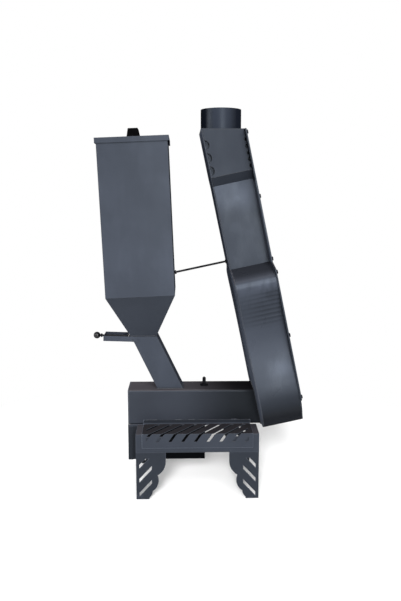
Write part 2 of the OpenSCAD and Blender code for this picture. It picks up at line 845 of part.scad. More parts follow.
module neck_side() {
    color(coat) placed() below(head_shell_top_z) on_body() along_x(back_t, shell_depth)
        polygon(strip(neck_outline, shell_t));
}

module neck_side_near() {
    far_side() neck_side();
}

module neck_side_far() {
    neck_side();
}

// Rise of the lowest large gill above the chamfer
gill_rise = 5;

module head_cheek() {
    color(coat) placed() below(head_shell_top_z) on_body() difference() {
        along_x(back_t, shell_depth) intersection() {
            polygon(strip(cheek_outline, shell_t));
            translate([neck_top_w / 2, 0]) square([head_w, 2 * tall_u]);
        }
        for (i = [0 : gills - 1])
            translate([0, head_w / 2, head_chamfer_top_u + gill_r + gill_rise + i * gill_pitch])
                rotate([90, 0, 0]) cylinder(r = gill_r, h = 2 * shell_t + overrun, center = true);
        for (i = [0 : small_gills - 1])
            translate([back_t + shell_depth, head_w / 2,
                head_chamfer_top_u + 2 * small_gill_r + i * small_gill_pitch])
                rotate([90, 0, 0]) cylinder(r = small_gill_r, h = 2 * shell_t + overrun, center = true);
    }
}

module head_cheek_near() {
    far_side() head_cheek();
}

module head_cheek_far() {
    head_cheek();
}

module hood_side() {
    color(coat) placed() on_body() along_x(back_t, shell_depth) polygon(strip(hood_outline, shell_t));
}

module hood_side_near() {
    far_side() hood_side();
}

module hood_side_far() {
    hood_side();
}

// The bottom's ends lie face to face with the ends of the hood's sides
module hood_bottom() {
    right_end = [hood_outline[0], moved_left(hood_outline, shell_t)[0]];
    color(coat) placed() on_body() along_x(back_t, shell_depth)
        polygon(concat(right_end, mirrored(right_end)));
}

module head_top_plate() {
    color(coat) placed() difference() {
        below(head_top_z) above(head_shell_top_z) on_body() translate([0, -head_w / 2, 0])
            cube([body_depth, head_w, reach]);
        translate([flue_x, 0, 0]) cylinder(d = flue_d - 2 * flue_wall, h = reach);
    }
}

module flue_collar() {
    color(coat) placed() translate([flue_x, 0, head_top_z]) difference() {
        cylinder(d = flue_d, h = flue_h, $fn = 96);
        translate([0, 0, -overrun]) cylinder(d = flue_d - 2 * flue_wall, h = flue_h + 2 * overrun, $fn = 96);
    }
}

// A window's opening: the pane's outline, drawn in by a lap
module pane_outline(width, low_u, top_u, lap) {
    translate([-width / 2 + lap, low_u + lap]) square([width - 2 * lap, top_u - low_u - 2 * lap]);
}

module upper_pane(lap) {
    pane_outline(upper_glass_w, upper_glass_low_u, upper_glass_top_u, lap);
}

module lower_pane(lap) {
    pane_outline(lower_glass_w, lower_glass_low_u, lower_glass_top_u, lap);
}

module upper_rim(top_u) {
    translate([-upper_frame_w / 2, upper_frame_u]) square([upper_frame_w, top_u - upper_frame_u]);
}

// Holes for the frame screws, drawn across and up
module screw_holes(width, levels, gap) {
    for (side = [-1, 1], u = levels) translate([side * (width / 2 - screw_inset), u])
        circle(screw_d / 2 + gap);
}

module upper_flange() {
    color(coat) placed() below(head_shell_top_z) on_body() along_x(body_depth - flange_t, flange_t)
        difference() {
            upper_rim(tall_u);
            upper_pane(glass_lap);
            screw_holes(upper_frame_w, upper_screw_levels, 0);
        }
}

module lower_flange() {
    hood_plate = [for (p = body_half_outline) if (p[1] < lower_frame_corner_u) p];
    color(coat) placed() on_body() along_x(body_depth - flange_t, flange_t) difference() {
        union() {
            polygon(lower_frame_outline);
            polygon(concat(hood_plate, mirrored(hood_plate)));
        }
        lower_pane(glass_lap);
        screw_holes(lower_frame_w, lower_screw_levels, 0);
    }
}

module upper_window_frame() {
    color(coat) placed() on_body() along_x(body_depth, frame_t) difference() {
        upper_rim(upper_frame_top_u);
        upper_pane(glass_lap - frame_reveal);
        screw_holes(upper_frame_w, upper_screw_levels, hole_gap);
    }
}

module lower_window_frame() {
    color(coat) placed() on_body() along_x(body_depth, frame_t) difference() {
        polygon(lower_frame_outline);
        lower_pane(glass_lap - frame_reveal);
        screw_holes(lower_frame_w, lower_screw_levels, hole_gap);
    }
}

module upper_glass() {
    color(pane, 0.6) placed() on_body() along_x(glass_back, glass_t) upper_pane(0);
}

module lower_glass() {
    color(pane, 0.6) placed() on_body() along_x(glass_back, glass_t) lower_pane(0);
}

module upper_gasket() {
    color(rope) placed() on_body() along_x(glass_front, gasket_t) difference() {
        upper_pane(0);
        upper_pane(glass_lap);
    }
}

module lower_gasket() {
    color(rope) placed() on_body() along_x(glass_front, gasket_t) difference() {
        lower_pane(0);
        lower_pane(glass_lap);
    }
}

// A clip drawn to the right and up: it stands on the flange and reaches over the pane's edge
module glass_clip() {
    flange_inner = body_depth - flange_t;
    rotate([90, 0, 0]) linear_extrude(clip_w, center = true) polygon([
        [flange_inner, overrun], [flange_inner, clip_foot], [flange_inner - clip_t, clip_foot],
        [flange_inner - clip_t, overrun + clip_t], [glass_back - clip_t, overrun + clip_t],
        [glass_back - clip_t, -clip_bite], [glass_back, -clip_bite], [glass_back, overrun]
    ]);
}

module glass_clips() {
    color(bare) placed() on_body() {
        for (side = [-1, 1]) {
            upper_y = side * clip_place_share * upper_glass_w / 2;
            lower_y = side * clip_place_share * lower_glass_w / 2;
            translate([0, upper_y, upper_glass_top_u]) glass_clip();
            translate([0, upper_y, upper_glass_low_u]) mirror([0, 0, 1]) glass_clip();
            translate([0, lower_y, lower_glass_top_u]) glass_clip();
            translate([0, lower_y, lower_glass_low_u]) mirror([0, 0, 1]) glass_clip();
        }
    }
}

module frame_screw() {
    cylinder(d = screw_d, h = flange_t + frame_t);
    translate([0, 0, flange_t + frame_t]) cylinder(d = screw_head_d / cos(30), h = screw_head_h, $fn = 6);
}

module frame_screws() {
    rows = [[upper_frame_w, upper_screw_levels], [lower_frame_w, lower_screw_levels]];
    color(black) placed() on_body() for (row = rows, side = [-1, 1], u = row[1])
        translate([body_depth - flange_t, side * (row[0] / 2 - screw_inset), u]) rotate([0, 90, 0])
            frame_screw();
}

// The slot field on the flat pattern: x along the fold, y up towards the firebox from the fold
module slot_strips(low_y, high_y) {
    first = -ceil((high_y / tan(slot_angle) + slot_start) / slot_pitch);
    last = ceil(panel_length / slot_pitch);
    intersection() {
        translate([slot_end_margin, low_y]) square([panel_length - 2 * slot_end_margin, high_y - low_y]);
        for (i = [first : last]) translate([slot_start + i * slot_pitch, 0])
            rotate(slot_angle) translate([-reach / 2, -slot_w / 2]) square([reach, slot_w]);
    }
}

shelf_depth = stand_reach - firebox_half;
slot_depth = shelf_depth - slot_back_margin;

// The wing and its panel are drawn on the far side, with the firebox at small Y
module wing_frame() {
    window_x = wing_border + slot_end_margin - window_margin;
    window_length = stand_length - 2 * window_x;
    window_drop = slot_drop + window_margin - panel_t;
    window_depth = slot_depth + window_margin - panel_t;
    color(coat) placed() translate([stand_x, 0, 0]) difference() {
        union() {
            translate([0, firebox_half, wing_z - wing_t])
                cube([stand_length, wing_reach - firebox_half, wing_t]);
            translate([0, wing_reach - wing_t, shelf_z - skirt_h])
                cube([stand_length, wing_t, wing_z - shelf_z + skirt_h]);
        }
        translate([window_x, wing_reach - window_depth, wing_z - window_drop])
            cube([window_length, window_depth + overrun, window_drop + overrun]);
    }
}

module perforated_panel() {
    color(coat) placed() translate([panel_x, 0, 0]) difference() {
        union() {
            translate([0, firebox_half, shelf_z - panel_t]) cube([panel_length, shelf_depth, panel_t]);
            translate([0, stand_reach - panel_t, shelf_z - panel_skirt_h])
                cube([panel_length, panel_t, panel_skirt_h]);
            translate([0, firebox_half, shelf_z - panel_t])
                cube([panel_length, panel_t, panel_flange_h + panel_t]);
        }
        translate([0, stand_reach, shelf_z - panel_t - overrun]) mirror([0, 1, 0])
            linear_extrude(panel_t + 2 * overrun) slot_strips(0, slot_depth);
        translate([0, stand_reach + overrun, shelf_z]) rotate([90, 0, 0])
            linear_extrude(panel_t + 2 * overrun) slot_strips(-slot_drop, 0);
    }
}

module wing_frame_near() {
    far_side() wing_frame();
}

module wing_frame_far() {
    wing_frame();
}

module perforated_panel_near() {
    far_side() perforated_panel();
}

module perforated_panel_far() {
    perforated_panel();
}

// The leg seen from the front, with its outer edge at x = 0 and its scallops to the right
module leg_outline() {
    trunk = leg_w - scallop_high_r;
    difference() {
        union() {
            square([trunk, leg_top_z]);
            translate([0, scallop_high_z]) square([leg_w, leg_top_z - scallop_high_z]);
            translate([trunk, scallop_high_z]) circle(scallop_high_r);
            translate([scallop_mid_x, scallop_mid_z]) circle(scallop_mid_r);
            translate([scallop_low_x, scallop_low_z]) circle(scallop_low_r);
        }
        translate([-leg_w, 0]) square([leg_w, leg_top_z]);
        translate([-leg_w, -leg_w]) square([3 * leg_w, leg_w]);
        intersection() {
            translate([leg_slot_x, 0]) square([leg_slot_field_w, leg_slot_top_z]);
            for (i = [0 : leg_slots - 1]) translate([leg_slot_x, leg_slot_z + i * leg_slot_pitch])
                rotate(leg_slot_angle) translate([-leg_w, 0]) square([3 * leg_w, leg_slot_w]);
        }
    }
}

module leg() {
    translate([0, leg_reach, 0]) rotate([90, 0, 0]) linear_extrude(leg_t) leg_outline();
}

module leg_left() {
    color(coat) placed() translate([stand_x, 0, 0]) leg();
}

module leg_right() {
    color(coat) placed() translate([stand_x + stand_length, 0, 0]) mirror([1, 0, 0]) leg();
}

module leg_near_left() {
    far_side() leg_left();
}

module leg_near_right() {
    far_side() leg_right();
}

module leg_far_left() {
    leg_left();
}

module leg_far_right() {
    leg_right();
}

module port_plug() {
    waist_d = plug_post_d - plug_flange_t;
    tip_r = plug_post_d / 2;
    waist_h = plug_post_h / 2 - tip_r;
    color(black) placed() translate([port_x, 0, firebox_top_z + seat_gap]) {
        translate([0, 0, -plug_stem_h]) cylinder(d = port_hole_d - 2 * slide_gap, h = plug_stem_h);
        cylinder(d = plug_flange_d, h = plug_flange_t);
        translate([0, 0, plug_flange_t]) cylinder(d = waist_d, h = plug_post_h - tip_r);
        translate([0, 0, plug_flange_t + waist_h])
            cylinder(d = plug_post_d, h = plug_post_h - tip_r - waist_h);
        translate([0, 0, plug_flange_t + plug_post_h - tip_r]) sphere(r = tip_r);
    }
}

firebox_tube();
firebox_end_plate();
burner_grate();
ash_box();
fuel_chute();
gate_channel();
gate_guides();
hopper_funnel();
hopper_box();
tie_rod();
tie_rod_nuts();
back_plate();
neck_side_near();
neck_side_far();
head_cheek_near();
head_cheek_far();
hood_side_near();
hood_side_far();
hood_bottom();
head_top_plate();
flue_collar();
upper_flange();
lower_flange();
upper_window_frame();
lower_window_frame();
upper_glass();
lower_glass();
upper_gasket();
lower_gasket();
glass_clips();
frame_screws();
wing_frame_near();
wing_frame_far();
perforated_panel_near();
perforated_panel_far();
leg_near_left();
leg_near_right();
leg_far_left();
leg_far_right();
hopper_lid();
lid_handle();
lid_handle_screws();
gate_blade();
gate_rod();
gate_nut();
gate_knob();
ash_drawer();
port_plug();
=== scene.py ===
import functools
import math

import bmesh
import bpy
from bpy.props import FloatProperty, FloatVectorProperty, IntProperty, PointerProperty
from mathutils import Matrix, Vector


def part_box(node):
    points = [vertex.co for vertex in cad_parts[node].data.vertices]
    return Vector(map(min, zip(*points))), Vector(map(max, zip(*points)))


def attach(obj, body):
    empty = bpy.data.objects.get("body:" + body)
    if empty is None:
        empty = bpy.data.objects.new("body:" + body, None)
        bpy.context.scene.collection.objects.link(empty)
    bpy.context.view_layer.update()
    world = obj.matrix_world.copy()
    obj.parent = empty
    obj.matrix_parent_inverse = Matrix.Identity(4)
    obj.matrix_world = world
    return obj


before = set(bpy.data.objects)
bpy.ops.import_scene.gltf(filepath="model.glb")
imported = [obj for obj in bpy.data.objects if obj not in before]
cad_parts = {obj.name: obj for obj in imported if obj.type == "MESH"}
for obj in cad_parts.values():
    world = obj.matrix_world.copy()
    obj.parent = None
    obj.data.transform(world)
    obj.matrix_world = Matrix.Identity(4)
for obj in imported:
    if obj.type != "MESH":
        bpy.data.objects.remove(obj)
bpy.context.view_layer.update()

bl_info = {
    "name": "Pellet Stove Finishes",
    "version": (1, 0, 0),
    "blender": (4, 5, 0),
    "location": "View3D > Sidebar > Stove",
    "description": "Coats the packed pellet stove, lays its weld beads and sets its stage",
    "category": "Material",
}

# All lengths are in metres. The stove faces -Y, and its hopper is at -X
ACROSS, DEEP, UP = (1.0, 0.0, 0.0), (0.0, 1.0, 0.0), (0.0, 0.0, 1.0)

# The body leans to the left. Its back plate's foot is taken at half the firebox's height
BODY_LEAN = math.radians(12.0)
BODY_FOOT = Vector((0.18445, 0.0, 0.252))
BODY_UP = Vector((-math.sin(BODY_LEAN), 0.0, math.cos(BODY_LEAN)))
BODY_FORWARD = Vector((math.cos(BODY_LEAN), 0.0, math.sin(BODY_LEAN)))
# Half the body's depth, from its back plate to its front flange
BODY_MIDDLE = 0.060
# The gate's blade and rod drop by this angle towards the chute
GATE_TILT = math.radians(2.0)

# Powder coat: sizes of its clouds, flecks and rubbed patches
CLOUD_SIZE, FLECK_SIZE, RUB_SIZE = 0.13, 0.0011, 0.05
# How far a surface turns away before its reflection starts to fade, and until it is gone
GLOSS_FADE = (0.25, 0.68)
# How far a face of the body looks inwards before soot and painted shade begin, and until it is
# black
SOOT_AND_SHADE_REACH = (-0.008, -0.020)
# The shelves' edges carry a full painted highlight this close to their outer edge, and none further
# in
RIM_HIGHLIGHT, RIM_END = 0.004, 0.006

# Modifiers on the CAD nodes, and the slot that holds the finish of their edges
CORNER_GAP = 0.00001
FLAT_ANGLE = math.radians(0.25)
ROUND_ANGLE, ROUND_SEGMENTS = math.radians(24.0), 2
SMOOTH_ANGLE = math.radians(32.0)
EDGE_SLOT = 1
# A Mix node's sockets for two colours, and the one for their mix
FIRST_COLOUR, SECOND_COLOUR, MIXED_COLOUR = 6, 7, 2

# Weld beads: rings to a ripple, and how the radius drifts along a bead (share, turn, start)
RIPPLE_RINGS = 4
DRIFTS = ((0.10, 0.37, 0.0), (0.07, 0.93, 1.0))
# A bead's end starts at one share of its radius and gains the other with each ring
END_SHARE, END_GAIN = 0.45, 0.2
# A direction that no bead runs along
ASKEW = Vector((0.31, 0.23, 0.92))
# Beads round a tube's foot: its left and right ends, its half depth and its height
CHUTE_FOOT = (-0.1189, -0.0412, 0.033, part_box("firebox_tube")[1].z)
FUNNEL_FOOT = (-0.1972, -0.1191, 0.0335, 0.467)
# The bead round the flue collar's foot: its steps, its lift and its share of the heavy radius
COLLAR_STEPS, COLLAR_LIFT, COLLAR_SHARE = 72, 0.0002, 0.8
# Stitch beads that hold the shelves to the firebox: left and right ends, depth and height
STITCHES = ((-0.1537, -0.1173), (-0.0658, -0.0446), (-0.0264, -0.0052), (0.1037, 0.1219))
STITCH_Y, STITCH_Z = 0.0536, 0.2128
# Beads between the gate channel and the chute: the far one's foot, and its run from there
CHANNEL_FOOT, CHANNEL_RUN = (-0.1889, 0.0345, 0.4492), Vector((-0.0056, 0.0, 0.0118))

# The camera that took the photograph: its place, its tilt down and its turn to the right
CAMERA_PLACE = (-0.04205, -2.070, 0.870)
CAMERA_TILT, CAMERA_TURN = math.radians(8.2752), math.radians(1.5176)
SENSOR_WIDTH = 36.0
# The lamps face this point. Each has a name, a kind, the setting of its power or brightness,
# a place and a size or angle
LAMP_AIM = (0.0, 0.0, 0.6)
LAMPS = (
    ("high_lamp", "SUN", "high_lamp", (0.5, -3.4, 3.0), {"angle": math.radians(35.0)}),
    ("upper_front_lamp", "AREA", "front_lamp", (0.16, -2.6, 1.0), {"size": 0.4}),
    ("far_front_lamp", "AREA", "far_lamp", (0.92, -5.0, 0.83), {"size": 0.8}),
    ("back_lamp", "AREA", "back_lamp", (-0.6, 3.2, 1.8), {"size": 2.0}),
    ("left_lamp", "AREA", "left_lamp", (-2.4, -0.5, 1.0), {"size": 1.2}),
    ("right_lamp", "AREA", "right_lamp", (2.0, 1.4, 1.3), {"size": 1.2}),
)
FLOOR_LAMP_PLACE, FLOOR_LAMP_ANGLE = (-0.4, -3.4, 1.6), math.radians(13.0)
# The floor is a disc just under the feet, and turns white between two distances
FLOOR_RADIUS, FLOOR_SIDES, FLOOR_DROP = 30.0, 96, 0.0002
FLOOR_FADE = (0.75, 1.15)


def colour(name, description, default):
    """A colour that the user can change."""
    return FloatVectorProperty(
        name=name, description=description, subtype="COLOR", size=3, min=0.0, max=1.0,
        default=default)


def length(name, description, default):
    """A length that the user can change, in metres."""
    return FloatProperty(
        name=name, description=description, subtype="DISTANCE", unit="LENGTH", min=0.0,
        precision=5, default=default)


def share(name, description, default):
    """A share from none to all."""
    return FloatProperty(
        name=name, description=description, subtype="FACTOR", min=0.0, max=1.0, default=default)


def power(name, description, default):
    """A lamp's power that the user can change, in watts."""
    return FloatProperty(
        name=name, description=description, subtype="POWER", unit="POWER", default=default)


def brightness(name, description, default):
    """A brightness that the user can change."""
    return FloatProperty(name=name, description=description, min=0.0, default=default)


class StoveCoat(bpy.types.PropertyGroup):
    """The powder coat of the casing."""

    casing: colour("Casing", "Powder coat on the casing", (0.0653, 0.0758, 0.1010))
    firebox: colour("Firebox", "Coat that the fire has dulled", (0.045, 0.051, 0.067))
    # The flue collar's coat is dark as painted shade
    flue: colour("Flue", "Heat-darkened coat on the flue collar", (0.015, 0.019, 0.030))
    # Colour of the tops: a dusty coat, with painted light that sets how bright and brown they look
    dust_and_top_light: colour("Dust", "Coat on the tops, under fine dust", (0.100, 0.094, 0.106))
    edge: colour("Edges", "Coat where it thins along sheet edges", (0.125, 0.142, 0.18))
    roughness: share("Roughness", "Roughness of the powder coat", 0.36)
    specular: share("Specular", "Strength of the coat's own reflection", 0.25)
    sheen: colour("Reflection tint", "Tint of the coat's own reflection", (0.76, 0.87, 1.0))
    peel: length("Orange peel", "Size of one cell of the coat's orange peel", 0.0014)
    fold_pitch: length("Fold pitch", "Distance between the hood's fold marks", 0.0125)
    edge_radius: length("Edge radius", "Radius of the sheet edges", 0.0007)


class StoveFittings(bpy.types.PropertyGroup):
    """The black and bare fittings."""

    black: colour("Black", "Colour of the black screws, rods and straps", (0.012, 0.012, 0.015))
    knob: colour("Knob", "Colour of the ball knob", (0.006, 0.006, 0.007))
    bare: colour("Bare steel", "Colour of the uncoated steel", (0.23, 0.225, 0.22))
    burnt: colour("Burnt steel", "Steel where the fire has tinted it", (0.085, 0.062, 0.05))
    thread_pitch: length("Thread pitch", "Pitch of the threads on the rods", 0.001)
    edge_radius: length("Edge radius", "Radius of the edges of small fittings", 0.0003)


class StoveWindows(bpy.types.PropertyGroup):
    """The panes and their gaskets."""

    glass: colour("Glass", "Tint of the ceramic glass", (0.014, 0.012, 0.011))
    soot: colour("Soot", "Colour of the haze on the panes' inside", (0.042, 0.036, 0.030))
    haze: share("Haze", "Share of the panes that the haze covers", 0.35)
    rope: colour("Rope", "Colour of the gasket rope", (0.42, 0.39, 0.33))
    weave: length("Weave", "Size of one stitch of the gasket rope", 0.0022)


class StoveWelds(bpy.types.PropertyGroup):
    """The weld beads between the sheets."""

    radius: length("Bead radius", "Heavy beads at the firebox and the body", 0.0026)
    thin_radius: length("Thin bead radius", "Radius of the beads on thin sheet", 0.0016)
    stitch_radius: length("Stitch radius", "Stitch beads along the shelves", 0.0021)
    ripple: length("Ripple", "Distance between two ripples of a bead", 0.0028)
    ripple_depth: share("Ripple depth", "Depth of the ripples, as a share of the radius", 0.16)
    sides: IntProperty(
        name="Sides", description="Sides of a bead's section", min=6, max=24, default=10)


class StoveStage(bpy.types.PropertyGroup):
    """The floor, the lamps and the camera."""

    floor: colour("Floor", "Colour of the floor", (0.88, 0.88, 0.88))
    bounce: colour("Bounce", "Light that the floor throws back", (0.15, 0.15, 0.15))
    ambient: brightness("Ambient", "Light from all round", 0.28)
    high_lamp: brightness("High lamp", "Wide, even lamp above the front", 1.5)
    front_lamp: power("Front lamp", "Small lamp in front", 7.0)
    back_lamp: power("Back lamp", "Wide lamp behind", 30.0)
    right_lamp: power("Right lamp", "Wide lamp on the right", 9.0)
    left_lamp: power("Left lamp", "Wide lamp on the left", 22.0)
    far_lamp: power("Far lamp", "Lamp further off in front", 30.0)
    floor_lamp: brightness("Floor lamp", "Lamp that lights the floor alone", 4.4)
    lens: FloatProperty(
        name="Lens", description="Focal length of the camera in millimetres", min=10.0,
        default=41.39)


class Finish:
    """Lays out the nodes of one material, in the object's own coordinates."""

    def __init__(self, name, **sockets):
        self.material = bpy.data.materials.new(name)
        self.material.use_nodes = True
        tree = self.material.node_tree
        self.nodes, self.links = tree.nodes, tree.links
        self.shader = self.nodes["Principled BSDF"]
        self.place = self.nodes.new("ShaderNodeTexCoord").outputs["Object"]
        for socket, value in sockets.items():
            self.shader.inputs[socket.replace("_", " ")].default_value = value

    def join(self, source, socket):
        """Feeds a socket from another node's output or from a plain value."""
        if isinstance(source, bpy.types.NodeSocket):
            self.links.new(source, socket)
        else:
            socket.default_value = source

    def set(self, socket, source):
        """Feeds one of the shader's own sockets."""
        self.join(source, self.shader.inputs[socket])

    def source_of(self, socket):
        """The output that feeds one of the shader's own sockets."""
        return self.shader.inputs[socket].links[0].from_socket

    def math(self, operation, first, second=0.0):
        """One sum, product or other result of two values."""
        node = self.nodes.new("ShaderNodeMath")
        node.operation = operation
        self.join(first, node.inputs[0])
        self.join(second, node.inputs[1])
        return node.outputs[0]

    def times(self, first, second):
        """The product of two values."""
        return self.math("MULTIPLY", first, second)

    def vector(self, operation, first, second):
        """One sum, product or other result of two vectors."""
        node = self.nodes.new("ShaderNodeVectorMath")
        node.operation = operation
        self.join(first, node.inputs[0])
        self.join(second, node.inputs[1])
        return node.outputs["Value" if operation == "DOT_PRODUCT" else "Vector"]

    def along(self, direction):
        """Distance of the surface's point along a direction, in metres."""
        return self.vector("DOT_PRODUCT", self.place, direction)

    def facing(self, direction):
        """How far the surface faces along a direction, times that direction's length."""
        normal = self.nodes.new("ShaderNodeNewGeometry").outputs["Normal"]
        return self.vector("DOT_PRODUCT", normal, direction)

    def noise(self, size, detail=2.0, stretch=(1, 1, 1)):
        """Clouds whose cells have that size in metres, longer along the axes that stretch names."""
        mapping = self.nodes.new("ShaderNodeMapping")
        mapping.inputs["Scale"].default_value = [1 / (size * s) for s in stretch]
        self.join(self.place, mapping.inputs["Vector"])
        texture = self.nodes.new("ShaderNodeTexNoise")
        texture.inputs["Scale"].default_value = 1.0
        texture.inputs["Detail"].default_value = detail
        self.join(mapping.outputs["Vector"], texture.inputs["Vector"])
        return texture.outputs["Fac"]

    def span(self, source, low, high, to_low=0.0, to_high=1.0):
        """Maps a range onto another, with soft ends. A range from high to low falls instead."""
        step = self.nodes.new("ShaderNodeMapRange")
        step.interpolation_type = "SMOOTHSTEP"
        ends = {"From Min": low, "From Max": high, "To Min": to_low, "To Max": to_high}
        for socket, value in ends.items():
            step.inputs[socket].default_value = value
        self.join(source, step.inputs["Value"])
        return step.outputs["Result"]

    def band(self, source, rise, fall):
        """One between a range where it rises and a range where it falls, and nought beyond."""
        return self.times(self.span(source, *rise), self.span(source, *fall))

    def blend(self, amount, first, second, way="MIX"):
        """Mixes two colours."""
        node = self.nodes.new("ShaderNodeMix")
        node.data_type, node.blend_type = "RGBA", way
        self.join(amount, node.inputs["Factor"])
        for index, value in ((FIRST_COLOUR, first), (SECOND_COLOUR, second)):
            source = value if isinstance(value, bpy.types.NodeSocket) else (*value, 1.0)
            self.join(source, node.inputs[index])
        return node.outputs[MIXED_COLOUR]

    def tone(self, amount, factor):
        """Makes the colour so far lighter or darker where the amount is one."""
        so_far = self.source_of("Base Color")
        toned = self.blend(1.0, so_far, (factor,) * 3, "MULTIPLY")
        self.set("Base Color", self.blend(amount, so_far, toned))

    def emboss(self, height, depth, strength=1.0):
        """Adds relief of that depth in metres on top of the relief so far."""
        bump = self.nodes.new("ShaderNodeBump")
        bump.inputs["Strength"].default_value = strength
        bump.inputs["Distance"].default_value = depth
        self.join(height, bump.inputs["Height"])
        if self.shader.inputs["Normal"].is_linked:
            self.join(self.source_of("Normal"), bump.inputs["Normal"])
        self.set("Normal", bump.outputs["Normal"])

    def gloss(self, level, fade=GLOSS_FADE):
        """The surface's own reflection, which the rough coat swallows where it turns away."""
        turned = self.nodes.new("ShaderNodeLayerWeight").outputs["Facing"]
        self.shader.inputs["Specular IOR Level"].default_value = level
        self.set("Specular IOR Level", self.span(turned, *fade, level, 0.0))

    def dull_gloss(self, amount):
        """Takes the reflection away where the amount is one."""
        kept = self.span(amount, 0.0, 1.0, 1.0, 0.0)
        self.set("Specular IOR Level", self.times(self.source_of("Specular IOR Level"), kept))


def shade(tint, factor):
    """A colour made lighter or darker."""
    return tuple(min(1.0, c * factor) for c in tint)


def shared_finish(name):
    """Makes a finish's material when it is first asked for, and hands out the same one later."""
    def keep(lay_out):
        @functools.wraps(lay_out)
        def material():
            return bpy.data.materials.get(name) or lay_out(name).material
        return material
    return keep


def powder_coat(name, tint, dulled=0.0, wave_depth=0.0005, dust_and_top_light=0.0, clouds=0.08, grain=0.35,
                specular=None, fade=GLOSS_FADE):
    """Semi-gloss powder coat: orange peel, faint clouds, rubbed patches, slightly wavy sheet, and
    dusty tops with painted light.
    """
    kit = bpy.context.scene.stove_coat
    coat = Finish(name, Metallic=0.0, Specular_Tint=(*kit.sheen, 1.0))
    coat.gloss(kit.specular if specular is None else specular, fade)
    cloud = coat.span(coat.noise(CLOUD_SIZE, 3.0), 0.3, 0.7)
    tone = coat.blend(cloud, shade(tint, 1 - clouds), shade(tint, 1 + clouds))
    fleck = coat.span(coat.noise(FLECK_SIZE, 1.0), 0.60, 0.74, 0.0, grain)
    tone = coat.blend(fleck, tone, shade(tint, 1.35))
    # Faces that look up take the tops' colour: a dusty coat, with painted light on the tops
    if dust_and_top_light:
        tone = coat.blend(coat.span(coat.facing(UP), 0.35, 0.85, 0.0, dust_and_top_light), tone, kit.dust_and_top_light)
    coat.set("Base Color", tone)
    roughness = kit.roughness + dulled
    rubbed = coat.noise(RUB_SIZE, 4.0, (1.0, 1.0, 2.4))
    coat.set("Roughness", coat.span(rubbed, 0.25, 0.75, roughness - 0.06, roughness + 0.08))
    coat.emboss(coat.noise(CLOUD_SIZE, 1.0, (1.0, 1.0, 1.8)), wave_depth)
    coat.emboss(coat.noise(kit.peel, 1.0), 0.00004, 0.3)
    return coat


def worn_edge(name, tint, bare):
    """The thinned coat along a bent or cut edge, with a few chips down to the steel."""
    edge = Finish(name, Metallic=0.0)
    edge.gloss(0.4)
    chips = edge.span(edge.noise(0.011, 4.0), 0.66, 0.72)
    coated = edge.blend(edge.noise(0.03), shade(tint, 0.8), shade(tint, 1.15))
    edge.set("Base Color", edge.blend(chips, coated, bare))
    edge.set("Roughness", edge.span(edge.noise(0.02), 0.3, 0.7, 0.28, 0.42))
    edge.emboss(edge.noise(0.0016, 1.0), 0.00005, 0.4)
    return edge


def body_level(coat):
    """Level along the leaning body, from the foot of its back plate."""
    return coat.math("SUBTRACT", coat.along(BODY_UP), BODY_FOOT.dot(BODY_UP))


def body_across(coat):
    """Distance from the back plate of the leaning body towards its front."""
    return coat.math("SUBTRACT", coat.along(BODY_FORWARD), BODY_FOOT.dot(BODY_FORWARD))


def highlight_patch(coat, level, across, half_height, half_width):
    """One over a soft patch of the leaning body, where a highlight is painted, and nought beyond
    it.
    """
    from_level = coat.math("ABSOLUTE", coat.math("SUBTRACT", body_level(coat), level))
    from_across = coat.math("ABSOLUTE", coat.math("SUBTRACT", body_across(coat), across))
    return coat.times(coat.span(from_level, half_height, 0.0),
                      coat.span(from_across, half_width, 0.0))


def soot_and_shade_inside(coat):
    """Blackens the faces that look into the body, whose axis leans: soot, and painted shade inside
    it.
    """
    reach = coat.vector("SUBTRACT", coat.place, BODY_FOOT + BODY_MIDDLE * BODY_FORWARD)
    outward = coat.vector("SUBTRACT", reach, coat.vector("PROJECT", reach, BODY_UP))
    inside = coat.span(coat.facing(outward), *SOOT_AND_SHADE_REACH)
    # Soot, and painted shade inside the body
    coat.tone(inside, 0.10)
    coat.dull_gloss(inside)
    return coat


def dim_inside(coat):
    """Paints shade on the faces of the stand that look under the stove."""
    inward = coat.times(coat.along(DEEP), coat.facing(DEEP))
    coat.tone(coat.span(inward, -0.02, -0.06), 0.30)
    return coat


@shared_finish("powder_coat")
def casing_coat(name):
    """The casing's coat, with painted highlight streaks, and a little paler at the middle of the
    hopper's height.
    """
    kit = bpy.context.scene.stove_coat
    coat = powder_coat(name, kit.casing, dust_and_top_light=0.85, clouds=0.11)
    height = coat.along(UP)
    top = coat.span(height, 0.66, 0.82)
    middle = coat.band(height, (0.50, 0.56), (0.80, 0.66))
    foot = coat.span(height, 0.48, 0.44)
    highlight_streaks = coat.span(coat.noise(0.050, 4.0, (1.0, 1.0, 2.6)), 0.46, 0.66)
    coat.tone(top, 0.91)
    coat.tone(middle, 1.07)
    coat.tone(foot, 0.90)
    # Painted highlight, streaked up and down
    coat.tone(highlight_streaks, 1.12)
    return coat


@shared_finish("worn_coat_edge")
def worn_coat_edge(name):
    """The casing's coat where it thins along the edges that show pale."""
    coat, fittings = bpy.context.scene.stove_coat, bpy.context.scene.stove_fittings
    return worn_edge(name, coat.edge, fittings.bare)


@shared_finish("dark_coat_edge")
def dark_coat_edge(name):
    """The coat on the edges that stay dark as painted shade, with darker chips."""
    kit = bpy.context.scene.stove_coat
    return worn_edge(name, shade(kit.edge, 0.30), shade(kit.edge, 0.8))


